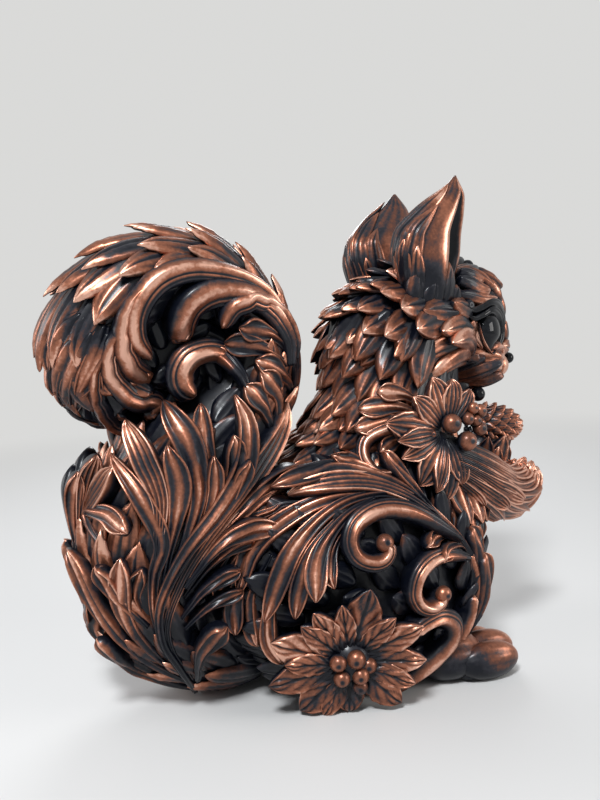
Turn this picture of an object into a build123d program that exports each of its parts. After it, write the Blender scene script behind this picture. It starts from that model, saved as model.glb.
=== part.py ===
from build123d import *
from math import cos, radians, sin
import os

os.makedirs("parts", exist_ok=True)

# Sizes are in millimetres. X points where the squirrel looks, Y to its left and Z up.
# The origin is the middle of the flat face that the figurine stands on.

# Torso and haunches
torso_height = 106
torso_half_length = 39
torso_half_width = 28
torso_lean = 32
haunch_forward = 6
haunch_side = 20
haunch_middle_height = 37
haunch_half_length = 33
haunch_half_width = 20
haunch_half_height = 36

# Height, lean, half length and half width of each section of the torso, from the ground up
torso_shares = (
    (0, 0, 0.62, 0.72),
    (0.13, 0.06, 0.87, 0.93),
    (0.34, 0.12, 1, 1),
    (0.55, 0.25, 0.92, 0.96),
    (0.72, 0.47, 0.79, 0.86),
    (0.87, 0.72, 0.66, 0.74),
    (1, 0.88, 0.6, 0.68),
)

# Tail
tail_reach = 100
tail_height = 150
tail_half_depth = 28
tail_half_width = 25
tail_relief_height = 5
tail_seam_offset = 12
curl_half_length = 24
curl_half_width = 11
curl_half_height = 24
curl_centre_share = (-0.55, 0.8)

# Reach, height, half depth and half width of each section of the tail, from its root to its end
tail_shares = (
    (-0.26, 0.09, 0.32, 0.48),
    (-0.44, 0.13, 0.61, 0.72),
    (-0.58, 0.24, 0.89, 0.92),
    (-0.6, 0.37, 1, 1),
    (-0.5, 0.52, 0.89, 0.92),
    (-0.37, 0.65, 0.61, 0.72),
    (-0.3, 0.77, 0.43, 0.64),
    (-0.34, 0.87, 0.43, 0.68),
    (-0.49, 0.94, 0.46, 0.76),
    (-0.67, 0.92, 0.54, 0.84),
    (-0.8, 0.83, 0.5, 0.76),
    (-0.81, 0.75, 0.36, 0.56),
    (-0.72, 0.69, 0.21, 0.36),
)

# Head
head_forward = 6
head_side = 3
head_rise = 17
head_turn = 8
skull_half_length = 27
skull_half_width = 21
skull_half_height = 20
skull_back = 4
face_forward = 26
face_rise = 2
face_half_length = 19
face_half_width = 15
face_half_height = 20
muzzle_forward = 33
muzzle_drop = 14
muzzle_half_length = 13
muzzle_half_width = 12
muzzle_half_height = 9.5
nose_radius = 2.4
nose_bulb_radius = 4
eye_side = 13
eye_forward = 28
eye_drop = 3.5
eye_half_width = 6.5
eye_half_height = 7
eye_half_depth = 3.6
eye_turn = 68
lid_margin = 2
ear_side = 16
ear_rise = 10
ear_height = 43
ear_half_length = 16
ear_half_width = 8
ear_lean_forward = 10
ear_lean_out = 3
ear_bore_forward = 5.5
ear_bore_out = 2

# Height, lean, half length and half width of each section of an ear
ear_shares = (
    (0, -0.3, 0.62, 0.8),
    (0.17, -0.24, 0.91, 0.95),
    (0.36, -0.18, 1, 1),
    (0.53, -0.09, 0.96, 0.92),
    (0.7, 0.3, 0.7, 0.7),
    (0.86, 0.68, 0.39, 0.38),
    (1, 0.7, 0.05, 0.08),
)
ear_bore_share = 0.8

# Arms, feet and the cone between the hands
arm_side = 22
arm_radius = 9
arm_forward = 26
arm_reach = 50
arm_below_neck = 20
arm_drop = 26
hand_half_length = 11
hand_half_width = 8
hand_half_height = 8
foot_forward = 32
foot_side = 32
foot_half_length = 20
foot_half_width = 11
foot_half_height = 13
toe_radius = 5.5
toe_reach = 15
toe_spread = 7
cone_back = 7
cone_below_shoulder = 3
cone_half_length = 11
cone_radius = 6.2
cone_dip = 8
cone_clearance = 1.8
cone_leaf_length = 5
cone_leaf_width = 4
cone_leaf_count = 44
cone_leaf_turn = 137.5
cone_leaf_tilt = 14
cone_leaf_spread_share = 0.9
cone_bead_radius = 2.8
cone_bead_gap = 6

# Reach, inward share of the arm's side, drop and radius along an arm from shoulder to wrist
arm_shares = ((0, 1, 0, 1), (0.24, 1.05, 0.5, 1), (0.5, 0.86, 0.88, 0.9), (0.8, 0.55, 0.9, 0.78))

# Surface ornament
frond_thickness = 5
frond_overhang = 8
frond_shift = 3
scroll_thickness = 7
scroll_depth = 16
blade_width = 6
stem_width = 9
scroll_width = 6.5
tail_blade_width = 7.5
tail_rib_width = 8.5
leaf_thickness = 1.8
leaf_middle_share = 0.45
petal_bend_share = 2.4
petal_thickness = 2
fur_leaf_length = 15
fur_leaf_width = 8
ruff_leaf_length = 15
ruff_leaf_width = 7.5
back_leaf_length = 10
back_leaf_width = 5.5
cheek_leaf_length = 26
cheek_leaf_width = 9
brow_leaf_length = 11
brow_leaf_width = 5
chest_leaf_length = 15
chest_leaf_width = 7
haunch_petal_length = 21
haunch_petal_width = 10
haunch_petals = 11
shoulder_petal_length = 15
shoulder_petal_width = 8
shoulder_petals = 8
berry_radius = 3.4
haunch_flower_share = (-0.56, -0.56)
shoulder_flower_ahead = 5
shoulder_flower_facing_share = (0.2, -1, 0.1)
flower_dome_radius = 5
petal_tilt = 6
berry_count = 5
berry_gap = 0.2
leaf_tilt = 8
ruff_tilt = 12
ruff_droop = 0.25
ruff_leaf_step = 26
ruff_leaf_angles = tuple(step * ruff_leaf_step for step in range(-2, 3))
ruff_row_angles = (34, 10, -14, -38)
curl_leaf_place_shares = (0.53, 0.59, 0.65, 0.71, 0.77, 0.83, 0.89, 0.95)
curl_leaf_angles = (154, 180, 206)
rear_leaf_place_shares = (0.1, 0.16, 0.22, 0.28)
rear_leaf_angles = (-18, 0, 18)
leaf_look_share = 0.05
back_leaf_step = 22
back_leaf_angles = tuple(step * back_leaf_step for step in range(-2, 3))
back_row_shares = (0.96, 0.88, 0.8, 0.72)
chest_row_shares = (0.84, 0.7, 0.5)
chest_leaf_angles = ((-12, 12), (-12, 12), (-34, -12, 12, 34))
cheek_start_angle = -95
cheek_tilt = 18
cheek_leaf_angles = (34, 12, -8, -26)
brow_leaf_angles = (-60, -30, 0, 30, 60)
brow_row_angles = (20, 52)
scroll_inner_side = 12
scroll_outer_side = 29
overrun = 5

# Widths of a blade, as shares of its full width, at shares of the way along it
blade_shares = ((0, 0.5), (0.25, 0.85), (0.55, 1), (0.8, 0.8), (0.94, 0.45))

# Routes of the haunch blades, sideways and upwards from the middle of the haunch,
# as shares of its half height
haunch_frond_shares = (
    ((0.67, 0.28), (0.39, 0.6), (0.1, 0.82), (-0.18, 0.92), (-0.5, 0.92), (-0.83, 0.83)),
    ((0.5, 0.5), (0.11, 0.86), (-0.28, 1), (-0.67, 1.03), (-1, 0.94)),
    ((0.28, 0.7), (0, 0.93), (-0.22, 1.06)),
    ((-0.55, 0.83), (-0.72, 0.8), (-1.06, 0.75), (-1.3, 0.64)),
    ((-0.6, 0.75), (-0.89, 0.69), (-1.2, 0.5), (-1.28, 0.3)),
    ((0, 0.81), (-0.33, 0.85), (-0.72, 0.78), (-1.03, 0.58), (-1.2, 0.36), (-1.27, 0.08)),
    ((-0.1, 0.8), (-0.64, 0.69), (-0.89, 0.47), (-1.03, 0.22), (-1.14, -0.11)),
    ((-0.1, 0.78), (-0.56, 0.64), (-0.78, 0.42), (-0.9, 0.14), (-0.94, -0.08)),
    ((-0.1, 0.76), (-0.44, 0.66), (-0.67, 0.5), (-0.76, 0.3), (-0.79, 0.07)),
    ((-0.78, 0.58), (-1, 0.33), (-1.11, 0.03), (-1.11, -0.28), (-1, -0.47)),
)
haunch_scroll_shares = (
    ((0.58, 0.31), (0.28, 0.64), (-0.08, 0.72), (-0.36, 0.6), (-0.4, 0.36), (-0.22, 0.24), (-0.08, 0.38)),
)
front_scroll_shares = (
    ((0.64, 0.19), (0.42, 0.36), (0.19, 0.25), (0.13, 0), (0.25, -0.2), (0.42, -0.16), (0.38, -0.02)),
    ((0.92, -0.45), (1.02, -0.14), (0.95, 0.19), (0.78, 0.39)),
)
lower_scroll_shares = (
    ((-0.06, -0.89), (0.31, -0.81), (0.58, -0.64), (0.75, -0.36), (0.78, -0.08)),
    ((0.54, -0.72), (0.58, -0.48), (0.44, -0.32), (0.28, -0.34)),
)

# Route of the scroll behind the shoulder flower, as shares of the torso's height
shoulder_scroll_shares = ((0.24, 0.83), (0.12, 0.86), (0.04, 0.82), (0.02, 0.75), (0.08, 0.71))

# Routes of the tail blades, as shares of the tail's reach and height
tail_stem_shares = (
    ((-0.46, 0.05), (-0.6, 0.12), (-0.66, 0.24), (-0.58, 0.39), (-0.42, 0.51), (-0.27, 0.61), (-0.21, 0.72)),
    ((-0.62, 0.38), (-0.52, 0.45), (-0.44, 0.53), (-0.41, 0.67)),
    ((-0.66, 0.24), (-0.7, 0.33), (-0.67, 0.4), (-0.74, 0.55)),
    ((-0.66, 0.37), (-0.66, 0.48), (-0.67, 0.61)),
    ((-0.64, 0.33), (-0.61, 0.46), (-0.61, 0.57)),
    ((-0.6, 0.41), (-0.56, 0.49), (-0.56, 0.59), (-0.58, 0.69)),
    ((-0.55, 0.43), (-0.52, 0.52), (-0.52, 0.67)),
    ((-0.58, 0.39), (-0.51, 0.45), (-0.46, 0.52), (-0.45, 0.6)),
    ((-0.6, 0.36), (-0.48, 0.43), (-0.38, 0.49), (-0.28, 0.53)),
    ((-0.62, 0.31), (-0.53, 0.38), (-0.45, 0.41), (-0.38, 0.42)),
    ((-0.62, 0.21), (-0.56, 0.25), (-0.47, 0.28)),
    ((-0.57, 0.09), (-0.58, 0.16), (-0.53, 0.23)),
)
tail_rear_shares = (
    ((-0.6, 0.08), (-0.72, 0.17), (-0.78, 0.27), (-0.77, 0.37)),
    ((-0.72, 0.22), (-0.79, 0.29), (-0.82, 0.36)),
    ((-0.58, 0.07), (-0.72, 0.15), (-0.82, 0.24), (-0.87, 0.38)),
    ((-0.58, 0.05), (-0.72, 0.11), (-0.83, 0.18), (-0.88, 0.27)),
    ((-0.56, 0.05), (-0.68, 0.09), (-0.76, 0.13), (-0.82, 0.21)),
    ((-0.84, 0.28), (-0.87, 0.37), (-0.84, 0.45), (-0.74, 0.53)),
    ((-0.86, 0.32), (-0.88, 0.41), (-0.87, 0.5), (-0.84, 0.58)),
)
curl_rib_shares = (
    ((-0.24, 0.69), (-0.22, 0.8), (-0.3, 0.89), (-0.48, 0.96), (-0.65, 0.93), (-0.76, 0.84), (-0.75, 0.73)),
    ((-0.27, 0.79), (-0.31, 0.86), (-0.38, 0.91), (-0.48, 0.93), (-0.56, 0.91), (-0.59, 0.87), (-0.57, 0.84)),
    ((-0.54, 0.95), (-0.63, 0.93), (-0.7, 0.89), (-0.72, 0.84), (-0.68, 0.78)),
    ((-0.7, 0.89), (-0.76, 0.84), (-0.77, 0.79), (-0.75, 0.75), (-0.69, 0.72)),
)
volute_shares = (
    ((-0.38, 0.68), (-0.38, 0.76), (-0.46, 0.8), (-0.56, 0.79), (-0.61, 0.74), (-0.55, 0.71), (-0.53, 0.74)),
)


def egg(half_length, half_width, half_height):
    """Return a solid with an elliptical outline from every side."""
    return scale(Solid.make_sphere(1), by=(half_length, half_width, half_height), mode=Mode.PRIVATE)


def blade(route, width):
    """Return the outline of one blade: a narrow root, a full middle and a round tip."""
    middle = Spline(*route)
    left, right = [], []
    for place, share in blade_shares:
        along = middle % place
        across = Vector(-along.Y, along.X) * (width * share / 2)
        left.append(middle @ place + across)
        right.insert(0, middle @ place - across)
    return left + [middle @ 1] + right


def blades(routes, widths):
    """Return a sketch of blades that share their roots."""
    outlines = [blade(route, width) for route, width in zip(routes, widths)]
    with BuildSketch() as sketch:
        for outline in outlines:
            with BuildLine():
                Spline(*outline)
                Line(outline[-1], outline[0])
            make_face()
    return sketch.sketch


def haunch_routes(shares):
    """Turn shares of the haunch into places on the side plane."""
    return [
        [(haunch_forward + x * haunch_half_height, haunch_middle_height + z * haunch_half_height)
         for x, z in route]
        for route in shares
    ]


def tail_routes(shares):
    """Turn shares of the tail into places on the side plane."""
    return [[(x * tail_reach, z * tail_height) for x, z in route] for route in shares]


def leaf(length, width, thickness):
    """Return a flat pointed leaf along X, with its root at the origin."""
    middle = length * leaf_middle_share
    with BuildPart() as solid:
        with BuildSketch():
            with BuildLine():
                ThreePointArc((0, 0), (middle, width / 2), (length, 0))
                ThreePointArc((length, 0), (middle, -width / 2), (0, 0))
            make_face()
        extrude(amount=thickness)
    return solid.part


def petal(length, width, thickness):
    """Return a pointed petal along X that curls up towards its tip."""
    bend = length * petal_bend_share
    tall_leaf = leaf(length, width, length)
    with BuildPart() as solid:
        add(tall_leaf)
        with BuildSketch(Plane.XZ):
            with Locations((0, bend)):
                Circle(bend)
                Circle(bend - thickness, mode=Mode.SUBTRACT)
        extrude(amount=width, both=True, mode=Mode.INTERSECT)
    return solid.part


def seat(point, outward, heading, tilt):
    """Return a plane at a surface point, with X along the heading and lifted by the tilt."""
    out = Vector(outward).normalized()
    along = (heading - out * heading.dot(out)).normalized()
    lifted = along * cos(radians(tilt)) + out * sin(radians(tilt))
    return Plane(origin=point, x_dir=lifted, z_dir=lifted.cross(out.cross(along)))


# Torso with both haunches, cut flat where it stands
torso_sections = [
    (height * torso_height, lean * torso_lean, length * torso_half_length, width * torso_half_width)
    for height, lean, length, width in torso_shares
]
haunch_egg = egg(haunch_half_length, haunch_half_width, haunch_half_height)
haunch_places = [(haunch_forward, side * haunch_side, haunch_middle_height) for side in (-1, 1)]
with BuildPart() as body_core:
    for z, x, half_length, half_width in torso_sections:
        with BuildSketch(Plane.XY.offset(z)):
            with Locations((x, 0)):
                Ellipse(half_length, half_width)
    loft()
    with Locations(*haunch_places):
        add(haunch_egg)
    split(bisect_by=Plane.XY, keep=Keep.TOP)

# Tail: a bushy lower part, a neck and a curl that closes round a sunk middle
tail_sections = [
    (x * tail_reach, z * tail_height, depth * tail_half_depth, width * tail_half_width)
    for x, z, depth, width in tail_shares
]
tail_line = Spline(*[(x, 0, z) for x, z, half_depth, half_width in tail_sections])
curl_centre = Vector(curl_centre_share[0] * tail_reach, 0, curl_centre_share[1] * tail_height)


def tail_loft(growth):
    """Return the tail's tube, grown outwards on every side."""
    with BuildPart() as tube:
        for x, z, half_depth, half_width in tail_sections:
            along = tail_line.tangent_at(tail_line.param_at_point(Vector(x, 0, z)))
            with BuildSketch(Plane(origin=(x, 0, z), x_dir=(0, 1, 0), z_dir=along)):
                Ellipse(half_width + growth, half_depth + growth)
        loft()
    return tube.part


with BuildPart() as tail_core:
    add(tail_loft(0))
    add(body_core.part, mode=Mode.SUBTRACT)
    with Locations(curl_centre):
        add(egg(curl_half_length, curl_half_width, curl_half_height))
    split(bisect_by=Plane.XY, keep=Keep.TOP)

# Head: a skull, a face and a muzzle in a plane of their own, turned a little to the left
head_ahead = Vector(cos(radians(head_turn)), sin(radians(head_turn)), 0)
head_origin = (torso_lean + head_forward, head_side, torso_height + head_rise)
head_plane = Plane(origin=head_origin, x_dir=head_ahead, z_dir=(0, 0, 1))
head_middle = Plane(origin=head_origin, x_dir=head_ahead, z_dir=head_plane.y_dir)


def on_head(x, y, z, turned=0):
    """Return a plane at a place in the head, turned about its upright axis."""
    return Plane(head_plane.location * Location((x, y, z), (0, 0, turned)))


with BuildPart() as head_core:
    with Locations(on_head(-skull_back, 0, 0)):
        add(egg(skull_half_length, skull_half_width, skull_half_height))
    with Locations(on_head(face_forward, 0, face_rise)):
        add(egg(face_half_length, face_half_width, face_half_height))
    with Locations(on_head(muzzle_forward, 0, -muzzle_drop, 180)):
        add(egg(muzzle_half_length, muzzle_half_width, muzzle_half_height))
    add(body_core.part, mode=Mode.SUBTRACT)

nose_forward = muzzle_forward + muzzle_half_length
with BuildPart() as nose_bulb:
    with Locations(on_head(nose_forward - nose_bulb_radius, 0, -muzzle_drop - nose_bulb_radius)):
        Sphere(nose_bulb_radius)
    add(head_core.part, mode=Mode.SUBTRACT)

with BuildPart() as nose:
    with Locations(on_head(nose_forward, 0, -muzzle_drop)):
        Sphere(nose_radius)
    add(head_core.part, mode=Mode.SUBTRACT)
    add(nose_bulb.part, mode=Mode.SUBTRACT)

with BuildPart() as eye_right:
    with Locations(on_head(eye_forward, -eye_side, -eye_drop, -eye_turn)):
        add(egg(eye_half_depth, eye_half_width, eye_half_height))
    add(head_core.part, mode=Mode.SUBTRACT)

with BuildPart() as eyelid_right:
    with Locations(on_head(eye_forward, -eye_side, -eye_drop + lid_margin, -eye_turn)):
        add(egg(eye_half_depth, eye_half_width + lid_margin, eye_half_height + lid_margin))
    with Locations(on_head(eye_forward, -eye_side, -eye_drop - lid_margin, -eye_turn)):
        add(egg(eye_half_depth + overrun, eye_half_width, eye_half_height), mode=Mode.SUBTRACT)
    add(eye_right.part, mode=Mode.SUBTRACT)
    add(head_core.part, mode=Mode.SUBTRACT)


def ear_loft(share):
    """Return a solid ear, drawn in to a share of its size."""
    with BuildPart() as ear:
        for rise, lean, half_length, half_width in ear_shares:
            side = -ear_side - lean * ear_lean_out
            place = on_head(lean * ear_lean_forward, side, ear_rise + rise * share * ear_height)
            with BuildSketch(place):
                Ellipse(half_length * share * ear_half_length, half_width * share * ear_half_width)
        loft()
    return ear.part


# Ears: tall hollow shells, open towards the front and the outside
with BuildPart() as ear_right:
    add(ear_loft(1))
    with Locations(head_ahead * ear_bore_forward - head_plane.y_dir * ear_bore_out):
        add(ear_loft(ear_bore_share), mode=Mode.SUBTRACT)
    add(head_core.part, mode=Mode.SUBTRACT)

# Arms: each runs from the shoulder to a cupped hand
arm_rise = torso_height - arm_below_neck
arm_points = [
    (arm_forward + reach * arm_reach, -inward * arm_side, arm_rise - drop * arm_drop)
    for reach, inward, drop, radius in arm_shares
]
arm_line = Spline(*arm_points)
hand_centre = Vector(arm_points[-1]) + Vector(hand_half_length / 2, hand_half_width / 2, hand_half_height / 4)
with BuildPart() as arm_right:
    for point, (reach, inward, drop, radius) in zip(arm_points, arm_shares):
        along = arm_line.tangent_at(arm_line.param_at_point(Vector(point)))
        with BuildSketch(Plane(origin=point, z_dir=along)):
            Circle(radius * arm_radius)
    loft()
    with Locations(hand_centre):
        add(egg(hand_half_length, hand_half_width, hand_half_height))
    add(body_core.part, mode=Mode.SUBTRACT)
    split(bisect_by=Plane.XZ, keep=Keep.TOP)

# Feet: low domes with three toes, cut flat where they stand
with BuildPart() as foot_right:
    with Locations((foot_forward, -foot_side, 0)):
        add(egg(foot_half_length, foot_half_width, foot_half_height))
    for step in (-1, 0, 1):
        reach = toe_reach - abs(step) * toe_radius / 2
        with Locations((foot_forward + reach, -foot_side + step * toe_spread, 0)):
            Sphere(toe_radius)
    add(body_core.part, mode=Mode.SUBTRACT)
    split(bisect_by=Plane.XY, keep=Keep.TOP)

# Cone between the hands, with its scales, its cup and the bead above it
cone_forward = arm_forward + arm_reach - cone_back
cone_rise = arm_rise - cone_below_shoulder
cone_plane = Plane(Location((cone_forward, 0, cone_rise), (0, 90 + cone_dip, 0)))
with BuildPart() as cone_core:
    with Locations(cone_plane):
        add(egg(cone_radius, cone_radius, cone_half_length))

with BuildPart() as cone_cup:
    with Locations((cone_forward - cone_radius / 2, 0, (cone_rise + hand_centre.Z) / 2)):
        add(egg(cone_half_length, cone_radius, (cone_rise - hand_centre.Z) / 2))
    with Locations(cone_plane):
        add(egg(
            cone_radius + cone_clearance, cone_radius + cone_clearance, cone_half_length + cone_clearance
        ), mode=Mode.SUBTRACT)
    add(arm_right.part, mode=Mode.SUBTRACT)
    add(mirror(arm_right.part, about=Plane.XZ, mode=Mode.PRIVATE), mode=Mode.SUBTRACT)

# Scales of the cone, set in a spiral and pointing away from the hands
cone_leaf = leaf(cone_leaf_length, cone_leaf_width, leaf_thickness / 2)
cone_seats = []
for step in range(cone_leaf_count):
    share = (step + 1) / (cone_leaf_count + 1)
    around = radians(step * cone_leaf_turn)
    height = (2 * share - 1) * cone_half_length * cone_leaf_spread_share
    radius = cone_radius * (1 - (height / cone_half_length) ** 2) ** 0.5
    outward = cone_plane.x_dir * cos(around) + cone_plane.y_dir * sin(around)
    point = cone_plane.origin + cone_plane.z_dir * height + outward * radius
    facing = outward * (radius / cone_radius**2) + cone_plane.z_dir * (height / cone_half_length**2)
    cone_seats.append(seat(point, facing, cone_plane.z_dir, cone_leaf_tilt))
with BuildPart() as cone_scales:
    with Locations(*cone_seats):
        add(cone_leaf)

# Bead above the cone, on a short stem
bead_rise = cone_rise + cone_radius + cone_bead_gap
with BuildPart() as cone_bead:
    with Locations((cone_forward - cone_half_length / 2, 0, bead_rise)):
        Sphere(cone_bead_radius)
        with Locations((0, 0, -cone_bead_gap)):
            Cylinder(cone_bead_radius / 3, cone_bead_gap + cone_bead_gap)
    add(cone_core.part, mode=Mode.SUBTRACT)


def haunch_relief(shares, widths, thickness, depth):
    """Return blades that follow the right haunch, standing out by the thickness and as deep as given."""
    centre = (haunch_forward - frond_shift, -haunch_side, haunch_middle_height)
    outline = blades(haunch_routes(shares), widths)
    with BuildPart() as relief:
        with BuildSketch(Plane.XZ.offset(haunch_side)):
            add(outline)
        extrude(amount=haunch_half_width + thickness + overrun)
        with Locations(centre):
            add(egg(
                haunch_half_length + frond_overhang + thickness,
                haunch_half_width + thickness,
                haunch_half_height + thickness,
            ), mode=Mode.INTERSECT)
            add(egg(
                haunch_half_length + frond_overhang + thickness - depth,
                haunch_half_width + thickness - depth,
                haunch_half_height + thickness - depth,
            ), mode=Mode.SUBTRACT)
        add(body_core.part, mode=Mode.SUBTRACT)
        add(foot_right.part, mode=Mode.SUBTRACT)
        split(bisect_by=Plane.XY, keep=Keep.TOP)
    return relief.part


haunch_widths = [stem_width] + [blade_width] * (len(haunch_frond_shares) - 1)
haunch_fronds = haunch_relief(haunch_frond_shares, haunch_widths, frond_thickness, frond_thickness)
with BuildPart() as haunch_frond_right:
    add(haunch_fronds)

with BuildPart() as haunch_scroll_right:
    add(haunch_relief(haunch_scroll_shares, [scroll_width], scroll_thickness, scroll_depth))
    add(haunch_frond_right.part, mode=Mode.SUBTRACT)

with BuildPart() as front_scroll_right:
    add(haunch_relief(front_scroll_shares, [scroll_width] * 2, scroll_thickness, scroll_depth))
    add(haunch_frond_right.part, mode=Mode.SUBTRACT)
    add(haunch_scroll_right.part, mode=Mode.SUBTRACT)

with BuildPart() as lower_scroll_right:
    add(haunch_relief(lower_scroll_shares, [scroll_width] * 2, scroll_thickness, scroll_depth))
    add(front_scroll_right.part, mode=Mode.SUBTRACT)


def flower(centre, outward, one_petal, count, radius, seat_depth):
    """Return a flower: two rings of petals on a boss that reaches down to its seat."""
    face = Plane(origin=centre, z_dir=outward)
    petal_seats = []
    for step in range(count):
        around = radians(step * 360 / count)
        heading = face.x_dir * cos(around) + face.y_dir * sin(around)
        petal_seats.append(seat(centre + heading * radius / 2, outward, heading, petal_tilt))
    with BuildPart() as bloom:
        with Locations(face):
            Sphere(radius)
            with Locations((0, 0, -seat_depth / 2)):
                Cylinder(radius, seat_depth)
        with Locations(*petal_seats):
            add(one_petal)
    return bloom.part


def berries(centre, outward, radius, ring):
    """Return a cluster of round berries: one in the middle and a ring round it."""
    face = Plane(origin=centre, z_dir=outward)
    with BuildPart() as cluster:
        with Locations(face):
            Sphere(radius)
            with PolarLocations(ring, berry_count):
                Sphere(radius)
    return cluster.part


# Flower low on the haunch
haunch_flower_centre = Vector(
    haunch_forward + haunch_flower_share[0] * haunch_half_height,
    -haunch_side - haunch_half_width,
    haunch_middle_height + haunch_flower_share[1] * haunch_half_height,
)
haunch_outward = Vector(haunch_flower_share[0], -1, haunch_flower_share[1] / 2)
haunch_petal = petal(haunch_petal_length, haunch_petal_width, petal_thickness)
haunch_bloom = flower(
    haunch_flower_centre,
    haunch_outward,
    haunch_petal,
    haunch_petals,
    flower_dome_radius,
    haunch_half_width,
)
with BuildPart() as haunch_flower_right:
    add(haunch_bloom)
    for fixed in (body_core, haunch_frond_right, haunch_scroll_right, lower_scroll_right, foot_right):
        add(fixed.part, mode=Mode.SUBTRACT)
    split(bisect_by=Plane.XY, keep=Keep.TOP)

with BuildPart() as haunch_berries_right:
    top = haunch_flower_centre + haunch_outward.normalized() * (flower_dome_radius + petal_thickness)
    add(berries(top, haunch_outward, berry_radius, berry_radius + berry_radius + berry_gap))
    add(haunch_flower_right.part, mode=Mode.SUBTRACT)

# Flower on the shoulder
shoulder_flower_centre = Vector(arm_forward + shoulder_flower_ahead, -arm_side - arm_radius, arm_rise)
shoulder_outward = Vector(shoulder_flower_facing_share)
shoulder_petal = petal(shoulder_petal_length, shoulder_petal_width, petal_thickness)
shoulder_bloom = flower(
    shoulder_flower_centre,
    shoulder_outward,
    shoulder_petal,
    shoulder_petals,
    flower_dome_radius,
    arm_radius,
)
with BuildPart() as shoulder_flower_right:
    add(shoulder_bloom)
    add(body_core.part, mode=Mode.SUBTRACT)
    add(arm_right.part, mode=Mode.SUBTRACT)
    add(haunch_frond_right.part, mode=Mode.SUBTRACT)

with BuildPart() as shoulder_berries_right:
    top = shoulder_flower_centre + shoulder_outward.normalized() * flower_dome_radius
    add(berries(top, shoulder_outward, berry_radius, berry_radius + berry_radius + berry_gap))
    add(shoulder_flower_right.part, mode=Mode.SUBTRACT)

# Scroll behind the shoulder flower
shoulder_route = [(x * torso_height, z * torso_height) for x, z in shoulder_scroll_shares]
shoulder_outline = blades([shoulder_route], [scroll_width])
with BuildPart() as shoulder_scroll_right:
    with BuildSketch(Plane.XZ.offset(scroll_inner_side)):
        add(shoulder_outline)
    extrude(amount=scroll_outer_side - scroll_inner_side)
    add(body_core.part, mode=Mode.SUBTRACT)
    add(shoulder_flower_right.part, mode=Mode.SUBTRACT)


def tail_relief(routes, widths, growth):
    """Return blades that follow the right side of the tail and stand out from it."""
    outline = blades(routes, widths)
    shell = tail_loft(growth)
    with BuildPart() as relief:
        with BuildSketch(Plane.XZ.offset(tail_seam_offset)):
            add(outline)
        extrude(amount=tail_half_width + growth)
        add(shell, mode=Mode.INTERSECT)
        add(tail_core.part, mode=Mode.SUBTRACT)
        add(body_core.part, mode=Mode.SUBTRACT)
        split(bisect_by=Plane.XY, keep=Keep.TOP)
    return relief.part


tail_widths = [stem_width] + [tail_blade_width] * (len(tail_stem_shares) - 1)
with BuildPart() as tail_frond_right:
    add(tail_relief(tail_routes(tail_stem_shares), tail_widths, tail_relief_height))
    add(haunch_frond_right.part, mode=Mode.SUBTRACT)

with BuildPart() as tail_rear_frond_right:
    rear_widths = [tail_blade_width] * len(tail_rear_shares)
    add(tail_relief(tail_routes(tail_rear_shares), rear_widths, tail_relief_height))
    add(tail_frond_right.part, mode=Mode.SUBTRACT)

with BuildPart() as curl_ribs_right:
    rib_widths = [tail_rib_width] * len(curl_rib_shares)
    add(tail_relief(tail_routes(curl_rib_shares), rib_widths, tail_relief_height))
    add(tail_frond_right.part, mode=Mode.SUBTRACT)

volute_outline = blades(tail_routes(volute_shares), [tail_rib_width])
with BuildPart() as curl_volute_right:
    with BuildSketch(Plane.XZ.offset(tail_seam_offset)):
        add(volute_outline)
    extrude(amount=tail_half_width)
    with Locations(curl_centre):
        add(egg(
            curl_half_length + curl_half_width,
            tail_half_width - tail_relief_height,
            curl_half_height + curl_half_width,
        ), mode=Mode.INTERSECT)
    add(tail_core.part, mode=Mode.SUBTRACT)
    add(curl_ribs_right.part, mode=Mode.SUBTRACT)
    add(tail_frond_right.part, mode=Mode.SUBTRACT)


tail_stops = [tail_line.param_at_point(Vector(x, 0, z)) for x, z, half_depth, half_width in tail_sections]


def tail_place(place, angle):
    """Return a point on the tail, at an angle from its back round towards the right, and its outward way."""
    after = next(index for index, stop in enumerate(tail_stops) if index and stop >= place)
    share = (place - tail_stops[after - 1]) / (tail_stops[after] - tail_stops[after - 1])
    depth, width = [
        tail_sections[after - 1][size] * (1 - share) + tail_sections[after][size] * share for size in (2, 3)
    ]
    back = (tail_line % place).cross(Vector(0, 1, 0))
    turned = radians(angle)
    point = tail_line @ place + back * (depth * cos(turned)) - Vector(0, width * sin(turned), 0)
    return point, back * (cos(turned) / depth) - Vector(0, sin(turned) / width, 0)


def tail_seat(place, angle):
    """Return a seat for a leaf on the tail that points along its surface to the tail's end."""
    point, outward = tail_place(place, angle)
    further, outward_further = tail_place(min(place + leaf_look_share, tail_stops[-1]), angle)
    heading = (further - point).normalized()
    return seat(point, outward - heading * outward.dot(heading), heading, leaf_tilt)


def tail_leaves(places, angles):
    """Return rows of leaves across the tail, every second row moved by half a step."""
    step = angles[1] - angles[0]
    seats = []
    for row, place in enumerate(places):
        shifted = [angle + step / 2 for angle in angles[:-1]]
        seats += [tail_seat(place, angle) for angle in (shifted if row % 2 else angles)]
    with BuildPart() as rows:
        with Locations(*seats):
            add(fur_leaf)
        split(bisect_by=Plane.XY, keep=Keep.TOP)
    return rows.part


# Leaves on the back of the tail and over its curl, pointing to the tail's end
fur_leaf = leaf(fur_leaf_length, fur_leaf_width, leaf_thickness)
curl_leaves = tail_leaves(curl_leaf_place_shares, curl_leaf_angles)
rear_leaves = tail_leaves(rear_leaf_place_shares, rear_leaf_angles)
with BuildPart() as tail_curl_leaves:
    add(curl_leaves)
    add(tail_core.part, mode=Mode.SUBTRACT)
with BuildPart() as tail_rear_leaves:
    add(rear_leaves)
    add(tail_core.part, mode=Mode.SUBTRACT)

# Leaves down the back and the chest
torso_stops = [section[0] for section in torso_sections]


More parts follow.
